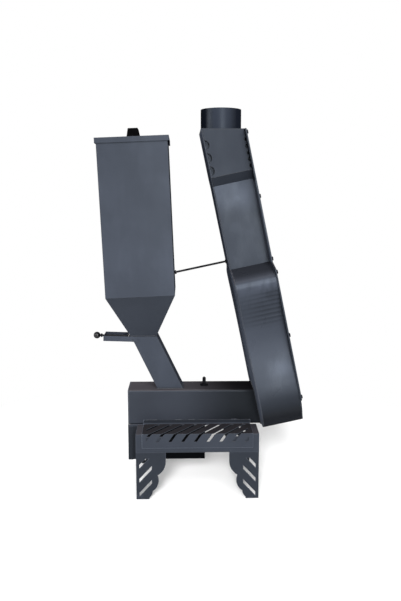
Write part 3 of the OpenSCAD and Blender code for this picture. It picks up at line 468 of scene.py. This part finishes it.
@shared_finish("powder_coat_on_folds")
def hood_coat(name):
    """The casing's coat, with fold marks across the waist, painted shade and painted highlights
    along its curve, and less gloss at the foot.
    """
    kit = bpy.context.scene.stove_coat
    coat = powder_coat(name, kit.casing, dulled=-0.05, wave_depth=0.0004, dust_and_top_light=0.25)
    level = body_level(coat)
    # Bands and patches, by level up the body, where shade and highlights are painted
    waist = coat.band(level, (0.245, 0.290), (0.368, 0.345))
    belly = coat.band(level, (0.13, 0.18), (0.27, 0.24))
    crown = coat.band(level, (0.305, 0.345), (0.396, 0.384))
    cloudy = coat.span(coat.noise(0.030, 3.0, (0.6, 1.0, 1.8)), 0.35, 0.62)
    belly_highlight = highlight_patch(coat, 0.130, 0.086, half_height=0.034, half_width=0.055)
    crown_highlight = highlight_patch(coat, 0.378, 0.088, half_height=0.020, half_width=0.045)
    shaded_shoulder = coat.span(level, 0.396, 0.413)
    foot = coat.span(level, 0.13, 0.0)
    # Painted shade at the waist, painted light on the belly, painted highlights on the crown and
    # belly, and painted shade on the upward fold and at the foot, where the hood curves under
    coat.tone(waist, 0.80)
    coat.tone(belly, 1.12)
    coat.tone(coat.times(crown, cloudy), 1.38)
    coat.tone(belly_highlight, 1.55)
    coat.tone(crown_highlight, 1.25)
    coat.tone(shaded_shoulder, 0.50)
    coat.tone(foot, 0.33)
    coat.dull_gloss(coat.span(level, 0.05, -0.02, 0.0, 0.75))
    fold = coat.math("SINE", coat.times(level, math.tau / kit.fold_pitch))
    fold_marks_and_shade = coat.times(waist, coat.span(coat.along(ACROSS), 0.13, 0.20, 0.25, 1.0))
    # Painted shade along each fold mark, over the bump of the fold marks
    coat.tone(coat.times(coat.span(fold, -0.6, 1.0), fold_marks_and_shade), 0.68)
    coat.emboss(coat.times(fold, fold_marks_and_shade), 0.00026)
    return soot_and_shade_inside(coat)


@shared_finish("powder_coat_on_back")
def back_coat(name):
    """The casing's coat on the back plate, with painted light where the plate faces left."""
    kit = bpy.context.scene.stove_coat
    coat = powder_coat(name, kit.casing, dust_and_top_light=0.85)
    # Painted light on the faces that look left
    coat.tone(coat.span(coat.facing(ACROSS), -0.6, -0.9), 1.7)
    return soot_and_shade_inside(coat)


@shared_finish("window_frame_coat")
def window_frame_coat(name):
    """The coat on the window frames and the lower flange, darker as painted shade."""
    kit = bpy.context.scene.stove_coat
    return powder_coat(name, shade(kit.casing, 0.6), wave_depth=0.0003, dust_and_top_light=0.5)


@shared_finish("powder_coat_on_flange")
def neck_flange_coat(name):
    """The casing's coat on the upper flange, with painted shade beside the head's gill openings."""
    kit = bpy.context.scene.stove_coat
    coat = powder_coat(name, kit.casing, wave_depth=0.0003, dust_and_top_light=0.5)
    shade_beside_gills = coat.span(body_level(coat), 0.655, 0.668)
    coat.tone(shade_beside_gills, 0.30)
    return coat


@shared_finish("powder_coat_on_neck")
def neck_coat(name):
    """The casing's coat on the wide neck sheets, cloudier, with painted shade lower down and a
    painted highlight towards the top.
    """
    kit = bpy.context.scene.stove_coat
    coat = powder_coat(name, kit.casing, wave_depth=0.0008, dust_and_top_light=0.6, clouds=0.13)
    level = body_level(coat)
    shaded_lower_part = coat.span(level, 0.655, 0.56)
    lit_upper_part = coat.band(level, (0.57, 0.63), (0.70, 0.66))
    # A painted highlight patch on the upper neck
    rubbed = highlight_patch(coat, 0.615, 0.082, half_height=0.050, half_width=0.045)
    cloudy = coat.span(coat.noise(0.042, 3.0), 0.52, 0.68)
    # Painted shade on the lower neck, and a painted highlight in a band and a patch on the upper
    # neck
    coat.tone(shaded_lower_part, 0.66)
    coat.tone(lit_upper_part, 1.38)
    coat.tone(rubbed, 1.35)
    coat.tone(cloudy, 1.16)
    return soot_and_shade_inside(coat)


@shared_finish("powder_coat_on_head")
def head_coat(name):
    """The casing's coat on the head, darker as painted shade, and duller."""
    kit = bpy.context.scene.stove_coat
    # A darker copy of the casing's coat, as painted shade
    return soot_and_shade_inside(
        powder_coat(name, shade(kit.casing, 0.66), dulled=0.10, wave_depth=0.0004, dust_and_top_light=0.85))


@shared_finish("grainy_shelf_coat")
def shelf_coat(name):
    """The casing's coat on the shelves, grainy, darker on the flange at the back, and with painted
    shade on the tops.
    """
    kit = bpy.context.scene.stove_coat
    coat = powder_coat(
        name, shade(kit.casing, 0.80), dulled=0.06, wave_depth=0.0003, dust_and_top_light=0.9, grain=0.9)
    flange = coat.span(coat.along(UP), 0.2035, 0.2045)
    top = coat.span(coat.facing(UP), 0.4, 0.8)
    coat.tone(flange, 0.40)
    # Painted shade on the faces that look up
    coat.tone(top, 0.44)
    coat.emboss(coat.noise(0.0016, 2.0), 0.00012, 0.5)
    return dim_inside(coat)


@shared_finish("rubbed_shelf_rim")
def shelf_rim(name):
    """The shelves' edges: a painted highlight round the sheet, and painted shade in the slots."""
    coat, fittings = bpy.context.scene.stove_coat, bpy.context.scene.stove_fittings
    low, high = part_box("perforated_panel_near")
    rim = worn_edge(name, shade(coat.edge, 0.5), fittings.bare)
    across = rim.along(ACROSS)
    left = rim.span(across, low.x + RIM_END, low.x + RIM_HIGHLIGHT)
    right = rim.span(across, high.x - RIM_END, high.x - RIM_HIGHLIGHT)
    bottom = rim.span(rim.along(UP), low.z + RIM_END, low.z + RIM_HIGHLIGHT)
    # A painted highlight along the outer edge; the darker rim is painted shade in the slots
    rim.tone(rim.math("MAXIMUM", rim.math("MAXIMUM", left, right), bottom), 4.2)
    return rim


@shared_finish("thin_powder_coat")
def lower_coat(name):
    """The casing's coat on the funnel, the wings and the legs, darker as painted shade, most of all
    on the legs, and scuffed towards the feet.
    """
    kit = bpy.context.scene.stove_coat
    coat = powder_coat(name, shade(kit.casing, 0.75), dulled=0.03, wave_depth=0.0003, dust_and_top_light=0.85)
    height = coat.along(UP)
    near_feet = coat.span(height, 0.045, 0.0)
    scuffs = coat.span(coat.noise(0.006, 4.0, (1.0, 1.0, 3.0)), 0.56, 0.62, 0.0, 0.7)
    legs = coat.span(height, 0.150, 0.135)
    coat.tone(coat.times(near_feet, scuffs), 1.9)
    # Painted shade on the legs
    coat.tone(legs, 0.60)
    return dim_inside(coat)


@shared_finish("heat_dulled_coat")
def firebox_coat(name):
    """The firebox's darker, duller coat, with a painted shadow beside the body, and painted shade
    on the ash box and under the shelf.
    """
    kit = bpy.context.scene.stove_coat
    coat = powder_coat(name, kit.firebox, dulled=0.04, wave_depth=0.0003, dust_and_top_light=1.0)
    across, height = coat.along(ACROSS), coat.along(UP)
    shadow_beside_body = coat.span(across, -0.07, 0.13)
    ash_box = coat.span(height, 0.196, 0.19)
    shade_under_shelf = coat.times(coat.span(height, 0.212, 0.196), coat.span(across, -0.170, -0.135))
    # Painted shadow of the body, and painted shade on the ash box and under the shelf
    coat.tone(shadow_beside_body, 0.16)
    coat.tone(ash_box, 0.42)
    coat.tone(shade_under_shelf, 0.22)
    coat.dull_gloss(coat.times(shade_under_shelf, 0.8))
    return coat


@shared_finish("heat_darkened_coat")
def flue_coat(name):
    """The glossier coat on the flue collar, dark as painted shade, with painted shade on its left
    and a painted highlight in front.
    """
    kit = bpy.context.scene.stove_coat
    coat = powder_coat(name, kit.flue, dulled=0.02, wave_depth=0.0002,
                       specular=0.36, fade=(0.05, 0.38))
    left = coat.span(coat.facing(ACROSS), -0.35, -0.85)
    front = coat.span(coat.facing(DEEP), -0.80, -0.97)
    # Painted shade on the collar's left, and a painted highlight on its front
    coat.tone(left, 0.50)
    coat.tone(front, 1.55)
    return coat


@shared_finish("coated_weld")
def weld_coat(name):
    """The casing's coat over a weld bead."""
    kit = bpy.context.scene.stove_coat
    return worn_edge(name, shade(kit.casing, 0.62), shade(kit.edge, 1.2))


@shared_finish("satin_black")
def satin_black(name):
    """Satin black of screws, nuts and the port's plug."""
    kit = bpy.context.scene.stove_fittings
    coat = Finish(name, Metallic=0.0)
    coat.gloss(0.08, (0.10, 0.40))
    rub = coat.noise(0.004, 3.0)
    worn = coat.span(rub, 0.55, 0.75, 0.0, 0.5)
    coat.set("Base Color", coat.blend(worn, kit.black, shade(kit.black, 2.6)))
    coat.set("Roughness", coat.span(rub, 0.2, 0.8, 0.30, 0.48))
    coat.emboss(coat.noise(0.0009, 1.0), 0.00004, 0.4)
    return coat


@shared_finish("matt_black")
def matt_black(name):
    """Matt black of the lid's strap, paler where hands have rubbed it."""
    kit = bpy.context.scene.stove_fittings
    coat = Finish(name, Metallic=0.0)
    coat.gloss(0.02)
    rub = coat.span(coat.noise(0.012, 4.0), 0.5, 0.75, 0.0, 0.6)
    coat.set("Base Color", coat.blend(rub, shade(kit.black, 0.2), shade(kit.black, 0.55)))
    coat.set("Roughness", coat.span(coat.noise(0.005), 0.2, 0.8, 0.55, 0.75))
    coat.emboss(coat.noise(0.0011, 2.0), 0.00006, 0.5)
    return coat


def cut_thread(name, direction):
    """The material of a black rod with a cut thread along a direction."""
    kit = bpy.context.scene.stove_fittings
    coat = Finish(name, Metallic=0.0)
    coat.gloss(0.45)
    turn = coat.math("SINE", coat.times(coat.along(direction), math.tau / kit.thread_pitch))
    crest = coat.span(turn, 0.0, 1.0, 0.0, 0.6)
    coat.set("Base Color", coat.blend(crest, kit.black, shade(kit.black, 2.4)))
    coat.set("Roughness", coat.span(coat.noise(0.006), 0.2, 0.8, 0.3, 0.45))
    coat.emboss(turn, 0.00025)
    return coat.material


@shared_finish("glossy_knob")
def glossy_knob(name):
    """Glossy moulded plastic, with the faint parting line of its mould."""
    kit = bpy.context.scene.stove_fittings
    gloss = Finish(name, Metallic=0.0, Coat_Weight=0.12, Coat_Roughness=0.06)
    gloss.gloss(0.45, (0.1, 0.5))
    gloss.set("Base Color", gloss.blend(gloss.noise(0.006), kit.knob, shade(kit.knob, 1.8)))
    gloss.set("Roughness", gloss.span(gloss.noise(0.004, 3.0), 0.3, 0.7, 0.12, 0.22))
    from_line = gloss.math("ABSOLUTE", gloss.along(DEEP))
    gloss.emboss(gloss.span(from_line, 0.0, 0.0004), 0.00008)
    return gloss


@shared_finish("burnt_steel")
def burnt_steel(name):
    """Mill-finished steel that the fire has tinted."""
    kit = bpy.context.scene.stove_fittings
    steel = Finish(name, Metallic=0.85, Specular_IOR_Level=0.5)
    burnt = steel.span(steel.noise(0.03, 4.0), 0.35, 0.7)
    tone = steel.blend(burnt, kit.bare, kit.burnt)
    scratch = steel.noise(0.0012, 2.0, (14.0, 1.0, 1.0))
    bright = steel.span(scratch, 0.3, 0.8, 0.0, 0.4)
    steel.set("Base Color", steel.blend(bright, tone, shade(kit.bare, 1.3)))
    steel.set("Roughness", steel.span(scratch, 0.2, 0.8, 0.34, 0.6))
    steel.emboss(scratch, 0.00004, 0.5)
    return steel


@shared_finish("ceramic_glass")
def ceramic_glass(name):
    """Smoked ceramic glass, with clouds of soot on its inner side."""
    kit = bpy.context.scene.stove_windows
    glass = Finish(name, Metallic=0.0, IOR=1.33, Alpha=0.82)
    soot = glass.span(glass.noise(0.07, 5.0, (1.0, 1.0, 1.8)), 0.35, 0.75, 0.0, kit.haze)
    glass.set("Base Color", glass.blend(soot, kit.glass, kit.soot))
    glass.set("Roughness", glass.span(soot, 0.0, 0.5, 0.03, 0.12))
    return glass


@shared_finish("gasket_rope")
def gasket_rope(name):
    """Woven glass rope, pressed flat."""
    kit = bpy.context.scene.stove_windows
    rope = Finish(name, Metallic=0.0, Roughness=0.95, Specular_IOR_Level=0.2)
    pitch = math.tau / kit.weave
    one_way = rope.math("SINE", rope.times(rope.along((0.6, 0.7, 0.4)), pitch))
    other_way = rope.math("SINE", rope.times(rope.along((0.3, -0.7, 0.6)), pitch))
    weave = rope.times(one_way, other_way)
    tone = rope.blend(rope.noise(0.02, 3.0), shade(kit.rope, 0.6), kit.rope)
    raised = rope.span(weave, -1.0, 1.0, 0.0, 0.5)
    rope.set("Base Color", rope.blend(raised, tone, shade(kit.rope, 0.45)))
    rope.emboss(weave, 0.0003)
    return rope


def smooth_folds():
    """A node group that shades curved sheet smoothly and keeps its folds sharp."""
    group = bpy.data.node_groups.get("smooth_folds")
    if group:
        return group
    group = bpy.data.node_groups.new("smooth_folds", "GeometryNodeTree")
    for way in ("INPUT", "OUTPUT"):
        group.interface.new_socket("Geometry", in_out=way, socket_type="NodeSocketGeometry")
    start, end = group.nodes.new("NodeGroupInput"), group.nodes.new("NodeGroupOutput")
    faces, edges = (group.nodes.new("GeometryNodeSetShadeSmooth") for _ in range(2))
    edges.domain = "EDGE"
    angle = group.nodes.new("GeometryNodeInputMeshEdgeAngle")
    shallow = group.nodes.new("FunctionNodeCompare")
    shallow.operation = "LESS_THAN"
    shallow.inputs[1].default_value = SMOOTH_ANGLE
    group.links.new(angle.outputs["Unsigned Angle"], shallow.inputs[0])
    group.links.new(shallow.outputs[0], edges.inputs["Shade Smooth"])
    group.links.new(start.outputs[0], faces.inputs["Geometry"])
    group.links.new(faces.outputs[0], edges.inputs["Geometry"])
    group.links.new(edges.outputs[0], end.inputs[0])
    return group


def dress(nodes, radius, body, edge=None):
    """Gives CAD nodes their finish, merges their flat faces and rounds their edges."""
    for node in nodes:
        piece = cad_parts[node]
        piece.data.materials.clear()
        piece.data.materials.append(body)
        piece.data.materials.append(edge or body)
        merge = piece.modifiers.new("merge corners", "WELD")
        merge.merge_threshold = CORNER_GAP
        flat = piece.modifiers.new("merge flat faces", "DECIMATE")
        flat.decimate_type = "DISSOLVE"
        flat.angle_limit = FLAT_ANGLE
        soft = piece.modifiers.new("round edges", "BEVEL")
        soft.width, soft.segments = radius, ROUND_SEGMENTS
        soft.limit_method, soft.angle_limit = "ANGLE", ROUND_ANGLE
        soft.material = EDGE_SLOT
        piece.modifiers.new("smooth folds", "NODES").node_group = smooth_folds()
        lit = piece.modifiers.new("even shading", "WEIGHTED_NORMAL")
        lit.weight, lit.keep_sharp = 100, True


def turns_of(count):
    """Angles at even steps round a circle."""
    return [math.tau * k / count for k in range(count)]


def spots_along(points, closed, step):
    """Points at even steps along a path."""
    route = [Vector(p) for p in points] + ([Vector(points[0])] if closed else [])
    spots = []
    for start, end in zip(route, route[1:]):
        count = max(1, round((end - start).length / step))
        spots += [start.lerp(end, i / count) for i in range(count)]
    if not closed:
        spots.append(route[-1])
    return spots


def bead_rings(mesh, spots, radius, closed):
    """The rings of a bead's corners, rippled, and tapered where the bead ends."""
    kit = bpy.context.scene.stove_welds
    rings, last = [], len(spots) - 1
    for i, spot in enumerate(spots):
        before = spots[i - 1] if i or closed else spot
        after = spots[(i + 1) % len(spots)] if i < last or closed else spot
        ahead = (after - before).normalized()
        side = ahead.cross(ASKEW).normalized()
        up = side.cross(ahead)
        swell = 1 + kit.ripple_depth * (0.5 - (i % RIPPLE_RINGS) / RIPPLE_RINGS)
        for part, turn, start in DRIFTS:
            swell += part * math.sin(i * turn + start)
        taper = 1.0 if closed else min(1.0, END_SHARE + END_GAIN * min(i, last - i))
        r = radius * swell * taper
        rings.append([mesh.verts.new(spot + r * (math.cos(a) * side + math.sin(a) * up))
                      for a in turns_of(kit.sides)])
    return rings


def lay_bead(name, points, radius, closed=False, body="stove"):
    """A rippled weld bead along a path."""
    kit = bpy.context.scene.stove_welds
    mesh = bmesh.new()
    rings = bead_rings(
        mesh, spots_along(points, closed, kit.ripple / RIPPLE_RINGS), radius, closed)
    for one, two in list(zip(rings, rings[1:])) + ([(rings[-1], rings[0])] if closed else []):
        for k in range(kit.sides):
            n = (k + 1) % kit.sides
            mesh.faces.new((one[k], one[n], two[n], two[k]))
    if not closed:
        mesh.faces.new(list(reversed(rings[0])))
        mesh.faces.new(rings[-1])
    bmesh.ops.recalc_face_normals(mesh, faces=mesh.faces)
    data = bpy.data.meshes.new(name)
    mesh.to_mesh(data)
    mesh.free()
    data.polygons.foreach_set("use_smooth", [True] * len(data.polygons))
    piece = bpy.data.objects.new(name, data)
    bpy.context.scene.collection.objects.link(piece)
    data.materials.append(weld_coat())
    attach(piece, body)


class STOVE_OT_firebox(bpy.types.Operator):
    """Coat the firebox, its end plate, the ash box and the ash drawer"""

    bl_idname = "stove.firebox"
    bl_label = "Firebox and ash box"

    def execute(self, context):
        dress(["firebox_tube", "firebox_end_plate", "ash_box", "ash_drawer"],
              context.scene.stove_coat.edge_radius, firebox_coat(), worn_coat_edge())
        return {"FINISHED"}


class STOVE_OT_burner(bpy.types.Operator):
    """Tint the burner grate and blacken the lighting port's plug"""

    bl_idname = "stove.burner"
    bl_label = "Burner grate and plug"

    def execute(self, context):
        radius = context.scene.stove_fittings.edge_radius
        dress(["burner_grate"], radius, burnt_steel())
        dress(["port_plug"], radius, satin_black())
        return {"FINISHED"}


class STOVE_OT_hopper(bpy.types.Operator):
    """Coat the hopper box, its funnel and the fuel chute"""

    bl_idname = "stove.hopper"
    bl_label = "Hopper and chute"

    def execute(self, context):
        radius = context.scene.stove_coat.edge_radius
        dress(["hopper_box", "fuel_chute"], radius, casing_coat(), dark_coat_edge())
        dress(["hopper_funnel"], radius, lower_coat(), worn_coat_edge())
        return {"FINISHED"}


class STOVE_OT_lid(bpy.types.Operator):
    """Coat the hopper lid and blacken its strap handle and screws"""

    bl_idname = "stove.lid"
    bl_label = "Lid and handle"

    def execute(self, context):
        radius = context.scene.stove_fittings.edge_radius
        dress(["hopper_lid"], context.scene.stove_coat.edge_radius, casing_coat(),
              dark_coat_edge())
        dress(["lid_handle"], radius, matt_black())
        dress(["lid_handle_screws"], radius, satin_black())
        return {"FINISHED"}


class STOVE_OT_gate(bpy.types.Operator):
    """Finish the gate's channel, guides, blade, rod, nut and knob"""

    bl_idname = "stove.gate"
    bl_label = "Gate"

    def execute(self, context):
        radius = context.scene.stove_fittings.edge_radius
        rod = cut_thread("gate_rod_thread", (math.cos(GATE_TILT), 0.0, -math.sin(GATE_TILT)))
        dress(["gate_channel"], context.scene.stove_coat.edge_radius, casing_coat(),
              worn_coat_edge())
        dress(["gate_guides", "gate_blade"], radius, burnt_steel())
        dress(["gate_rod"], radius, rod)
        dress(["gate_nut"], radius, satin_black())
        dress(["gate_knob"], radius, glossy_knob())
        return {"FINISHED"}


class STOVE_OT_tie_rod(bpy.types.Operator):
    """Blacken the tie rod and its nuts"""

    bl_idname = "stove.tie_rod"
    bl_label = "Tie rod"

    def execute(self, context):
        radius = context.scene.stove_fittings.edge_radius
        dress(["tie_rod"], radius, cut_thread("tie_rod_thread", BODY_FORWARD))
        dress(["tie_rod_nuts"], radius, satin_black())
        return {"FINISHED"}


class STOVE_OT_body(bpy.types.Operator):
    """Coat the back plate, the neck, the head and the hood"""

    bl_idname = "stove.body"
    bl_label = "Body"

    def execute(self, context):
        radius, dark = context.scene.stove_coat.edge_radius, dark_coat_edge()
        dress(["back_plate"], radius, back_coat(), dark)
        dress(["head_cheek_near", "head_cheek_far", "head_top_plate"], radius, head_coat(), dark)
        dress(["neck_side_near", "neck_side_far"], radius, neck_coat(), dark)
        dress(["hood_side_near", "hood_side_far", "hood_bottom"], radius, hood_coat(),
              worn_coat_edge())
        return {"FINISHED"}


class STOVE_OT_flue(bpy.types.Operator):
    """Coat the flue collar dark as painted shade, with a painted highlight in front"""

    bl_idname = "stove.flue"
    bl_label = "Flue collar"

    def execute(self, context):
        dress(["flue_collar"], context.scene.stove_fittings.edge_radius, flue_coat(),
              worn_coat_edge())
        return {"FINISHED"}


class STOVE_OT_windows(bpy.types.Operator):
    """Finish the flanges, frames, screws, panes, gaskets and clips of the windows"""

    bl_idname = "stove.windows"
    bl_label = "Windows"

    def execute(self, context):
        sheet = context.scene.stove_coat.edge_radius
        small = context.scene.stove_fittings.edge_radius
        dress(["lower_flange", "upper_window_frame", "lower_window_frame"], sheet,
              window_frame_coat(), dark_coat_edge())
        dress(["upper_flange"], sheet, neck_flange_coat(), dark_coat_edge())
        dress(["frame_screws"], small, satin_black())
        dress(["glass_clips"], small, burnt_steel())
        dress(["upper_glass", "lower_glass"], small, ceramic_glass())
        dress(["upper_gasket", "lower_gasket"], small, gasket_rope())
        return {"FINISHED"}


class STOVE_OT_stand(bpy.types.Operator):
    """Coat the wings, the perforated shelves and the legs of the stand"""

    bl_idname = "stove.stand"
    bl_label = "Stand"

    def execute(self, context):
        radius = context.scene.stove_coat.edge_radius
        dress(["wing_frame_near", "wing_frame_far", "leg_near_left", "leg_near_right",
               "leg_far_left", "leg_far_right"], radius, lower_coat(), worn_coat_edge())
        dress(["perforated_panel_near", "perforated_panel_far"], radius * 2, shelf_coat(),
              shelf_rim())
        return {"FINISHED"}


class STOVE_OT_welds(bpy.types.Operator):
    """Lay the weld beads between the sheets"""

    bl_idname = "stove.welds"
    bl_label = "Weld beads"

    def execute(self, context):
        kit = context.scene.stove_welds
        self.foot_weld("chute_foot_weld", *CHUTE_FOOT, kit.radius)
        self.foot_weld("funnel_foot_weld", *FUNNEL_FOOT, kit.thin_radius)
        self.collar_weld(kit.radius * COLLAR_SHARE)
        self.firebox_weld(kit.radius)
        for side, name in ((-1, "near"), (1, "far")):
            for number, stitch in enumerate(STITCHES):
                ends = [(x, side * STITCH_Y, STITCH_Z) for x in stitch]
                lay_bead(f"shelf_stitch_{name}_{number}", ends, kit.stitch_radius)
            x, y, z = CHANNEL_FOOT
            foot = Vector((x, side * y, z))
            lay_bead(f"channel_weld_{name}", [foot, foot + CHANNEL_RUN], kit.thin_radius)
        return {"FINISHED"}

    def foot_weld(self, name, left, right, y, z, radius):
        """A level bead round the foot of a rectangular tube."""
        corners = [(left, -y, z), (right, -y, z), (right, y, z), (left, y, z)]
        lay_bead(name, corners, radius, closed=True)

    def collar_weld(self, radius):
        """The bead round the flue collar's foot."""
        low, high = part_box("flue_collar")
        middle, reach = (low + high) / 2, (high.x - low.x) / 2
        circle = [(middle.x + reach * math.cos(a), middle.y + reach * math.sin(a),
                   low.z + COLLAR_LIFT) for a in turns_of(COLLAR_STEPS)]
        lay_bead("collar_foot_weld", circle, radius, closed=True)

    def firebox_weld(self, radius):
        """The bead between the firebox and the leaning back plate."""
        low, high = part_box("firebox_tube")
        middle = (low.z + high.z) / 2
        corners = [(low.y, low.z), (high.y, low.z), (high.y, high.z), (low.y, high.z)]
        ring = [(BODY_FOOT.x - (z - middle) * math.tan(BODY_LEAN), y, z) for y, z in corners]
        lay_bead("firebox_body_weld", ring, radius, closed=True)


def lamp(name, kind, energy, place, aim, **settings):
    """One lamp that faces a point."""
    data = bpy.data.lights.new(name, kind)
    data.energy = energy
    for setting, value in settings.items():
        setattr(data, setting, value)
    piece = bpy.data.objects.new(name, data)
    piece.location = place
    piece.rotation_euler = (Vector(aim) - Vector(place)).to_track_quat("-Z", "Y").to_euler()
    bpy.context.scene.collection.objects.link(piece)
    return piece


def seen_rays(nodes, links):
    """One where a camera, glossy or transmission ray arrives."""
    path = nodes.new("ShaderNodeLightPath")
    total = path.outputs["Is Camera Ray"]
    for ray in ("Is Glossy Ray", "Is Transmission Ray"):
        node = nodes.new("ShaderNodeMath")
        node.operation, node.use_clamp = "ADD", True
        links.new(total, node.inputs[0])
        links.new(path.outputs[ray], node.inputs[1])
        total = node.outputs[0]
    return total


def matt(nodes, tint):
    """A matt surface of that colour."""
    node = nodes.new("ShaderNodeBsdfDiffuse")
    node.inputs["Color"].default_value = (*tint, 1.0)
    return node.outputs[0]


def mixed(nodes, links, amount, first, second):
    """A mix of two surfaces."""
    node = nodes.new("ShaderNodeMixShader")
    for source, socket in zip((amount, first, second), node.inputs):
        links.new(source, socket)
    return node.outputs[0]


def floor_material(kit):
    """Pale to the camera, white further out, and darker in the light that it throws back."""
    pale = bpy.data.materials.new("pale_floor")
    pale.use_nodes = True
    nodes, links = pale.node_tree.nodes, pale.node_tree.links
    nodes.clear()
    reach = nodes.new("ShaderNodeVectorMath")
    reach.operation = "LENGTH"
    links.new(nodes.new("ShaderNodeTexCoord").outputs["Object"], reach.inputs[0])
    fade = nodes.new("ShaderNodeMapRange")
    fade.interpolation_type = "SMOOTHSTEP"
    fade.inputs["From Min"].default_value, fade.inputs["From Max"].default_value = FLOOR_FADE
    links.new(reach.outputs["Value"], fade.inputs["Value"])
    white = nodes.new("ShaderNodeEmission").outputs[0]
    shown = mixed(nodes, links, fade.outputs["Result"], matt(nodes, kit.floor), white)
    surface = mixed(nodes, links, seen_rays(nodes, links), matt(nodes, kit.bounce), shown)
    links.new(surface, nodes.new("ShaderNodeOutputMaterial").inputs["Surface"])
    return pale


class STOVE_OT_stage(bpy.types.Operator):
    """Set the floor, the lamps and the camera"""

    bl_idname = "stove.stage"
    bl_label = "Stage"

    def execute(self, context):
        kit, scene = context.scene.stove_stage, context.scene
        floor = self.lay_floor(scene, kit)
        self.light_world(scene, kit)
        for name, kind, setting, place, shape in LAMPS:
            lamp(name, kind, getattr(kit, setting), place, LAMP_AIM, **shape)
        self.light_floor(floor, kit)
        self.set_camera(scene, kit)
        scene.view_settings.view_transform = "Standard"
        return {"FINISHED"}

    def lay_floor(self, scene, kit):
        """A wide pale floor that keeps the stove's shadow and turns white further out."""
        mesh = bmesh.new()
        bmesh.ops.create_circle(mesh, cap_ends=True, radius=FLOOR_RADIUS, segments=FLOOR_SIDES)
        data = bpy.data.meshes.new("floor")
        mesh.to_mesh(data)
        mesh.free()
        floor = bpy.data.objects.new("floor", data)
        floor.location.z = -FLOOR_DROP
        scene.collection.objects.link(floor)
        data.materials.append(floor_material(kit))
        return floor

    def light_floor(self, floor, kit):
        """A lamp that reaches the floor alone, so that the stove's shadow keeps its depth."""
        only = bpy.data.collections.new("floor_only")
        only.objects.link(floor)
        sun = lamp("floor_lamp", "SUN", kit.floor_lamp, FLOOR_LAMP_PLACE, (0.0, 0.0, 0.0),
                   angle=FLOOR_LAMP_ANGLE)
        sun.light_linking.receiver_collection = only

    def light_world(self, scene, kit):
        """A white backdrop that lights the stove only softly."""
        world = bpy.data.worlds.new("studio")
        world.use_nodes = True
        scene.world = world
        nodes, links = world.node_tree.nodes, world.node_tree.links
        back = nodes["Background"]
        level = nodes.new("ShaderNodeMapRange")
        level.inputs["To Min"].default_value = kit.ambient
        level.inputs["To Max"].default_value = 1.0
        links.new(seen_rays(nodes, links), level.inputs["Value"])
        back.inputs["Color"].default_value = (1.0, 1.0, 1.0, 1.0)
        links.new(level.outputs["Result"], back.inputs["Strength"])

    def set_camera(self, scene, kit):
        """The camera that took the photograph."""
        data = bpy.data.cameras.new("photo_camera")
        data.sensor_width, data.lens = SENSOR_WIDTH, kit.lens
        camera = bpy.data.objects.new("photo_camera", data)
        camera.location = CAMERA_PLACE
        camera.rotation_euler = (math.radians(90) - CAMERA_TILT, 0.0, -CAMERA_TURN)
        scene.collection.objects.link(camera)
        scene.camera = camera


STEPS = (STOVE_OT_firebox, STOVE_OT_burner, STOVE_OT_hopper, STOVE_OT_lid, STOVE_OT_gate,
         STOVE_OT_tie_rod, STOVE_OT_body, STOVE_OT_flue, STOVE_OT_windows, STOVE_OT_stand,
         STOVE_OT_welds, STOVE_OT_stage)


class STOVE_PT_panel(bpy.types.Panel):
    """Lists the steps that finish the stove"""

    bl_idname = "STOVE_PT_panel"
    bl_label = "Pellet stove"
    bl_space_type = "VIEW_3D"
    bl_region_type = "UI"
    bl_category = "Stove"

    def draw(self, context):
        for step in STEPS:
            self.layout.operator(step.bl_idname)


GROUPS = {"stove_coat": StoveCoat, "stove_fittings": StoveFittings,
          "stove_windows": StoveWindows, "stove_welds": StoveWelds, "stove_stage": StoveStage}


def register():
    """Adds the settings, the steps and their panel."""
    for group in GROUPS.values():
        bpy.utils.register_class(group)
    for name, group in GROUPS.items():
        setattr(bpy.types.Scene, name, PointerProperty(type=group))
    for step in (*STEPS, STOVE_PT_panel):
        bpy.utils.register_class(step)


def unregister():
    """Takes the settings, the steps and their panel away again."""
    for step in (STOVE_PT_panel, *reversed(STEPS)):
        bpy.utils.unregister_class(step)
    for name, group in GROUPS.items():
        delattr(bpy.types.Scene, name)
        bpy.utils.unregister_class(group)


def main():
    """Takes every step in order."""
    register()
    for step in STEPS:
        group, name = step.bl_idname.split(".")
        getattr(getattr(bpy.ops, group), name)()


if __name__ == "__main__":
    main()
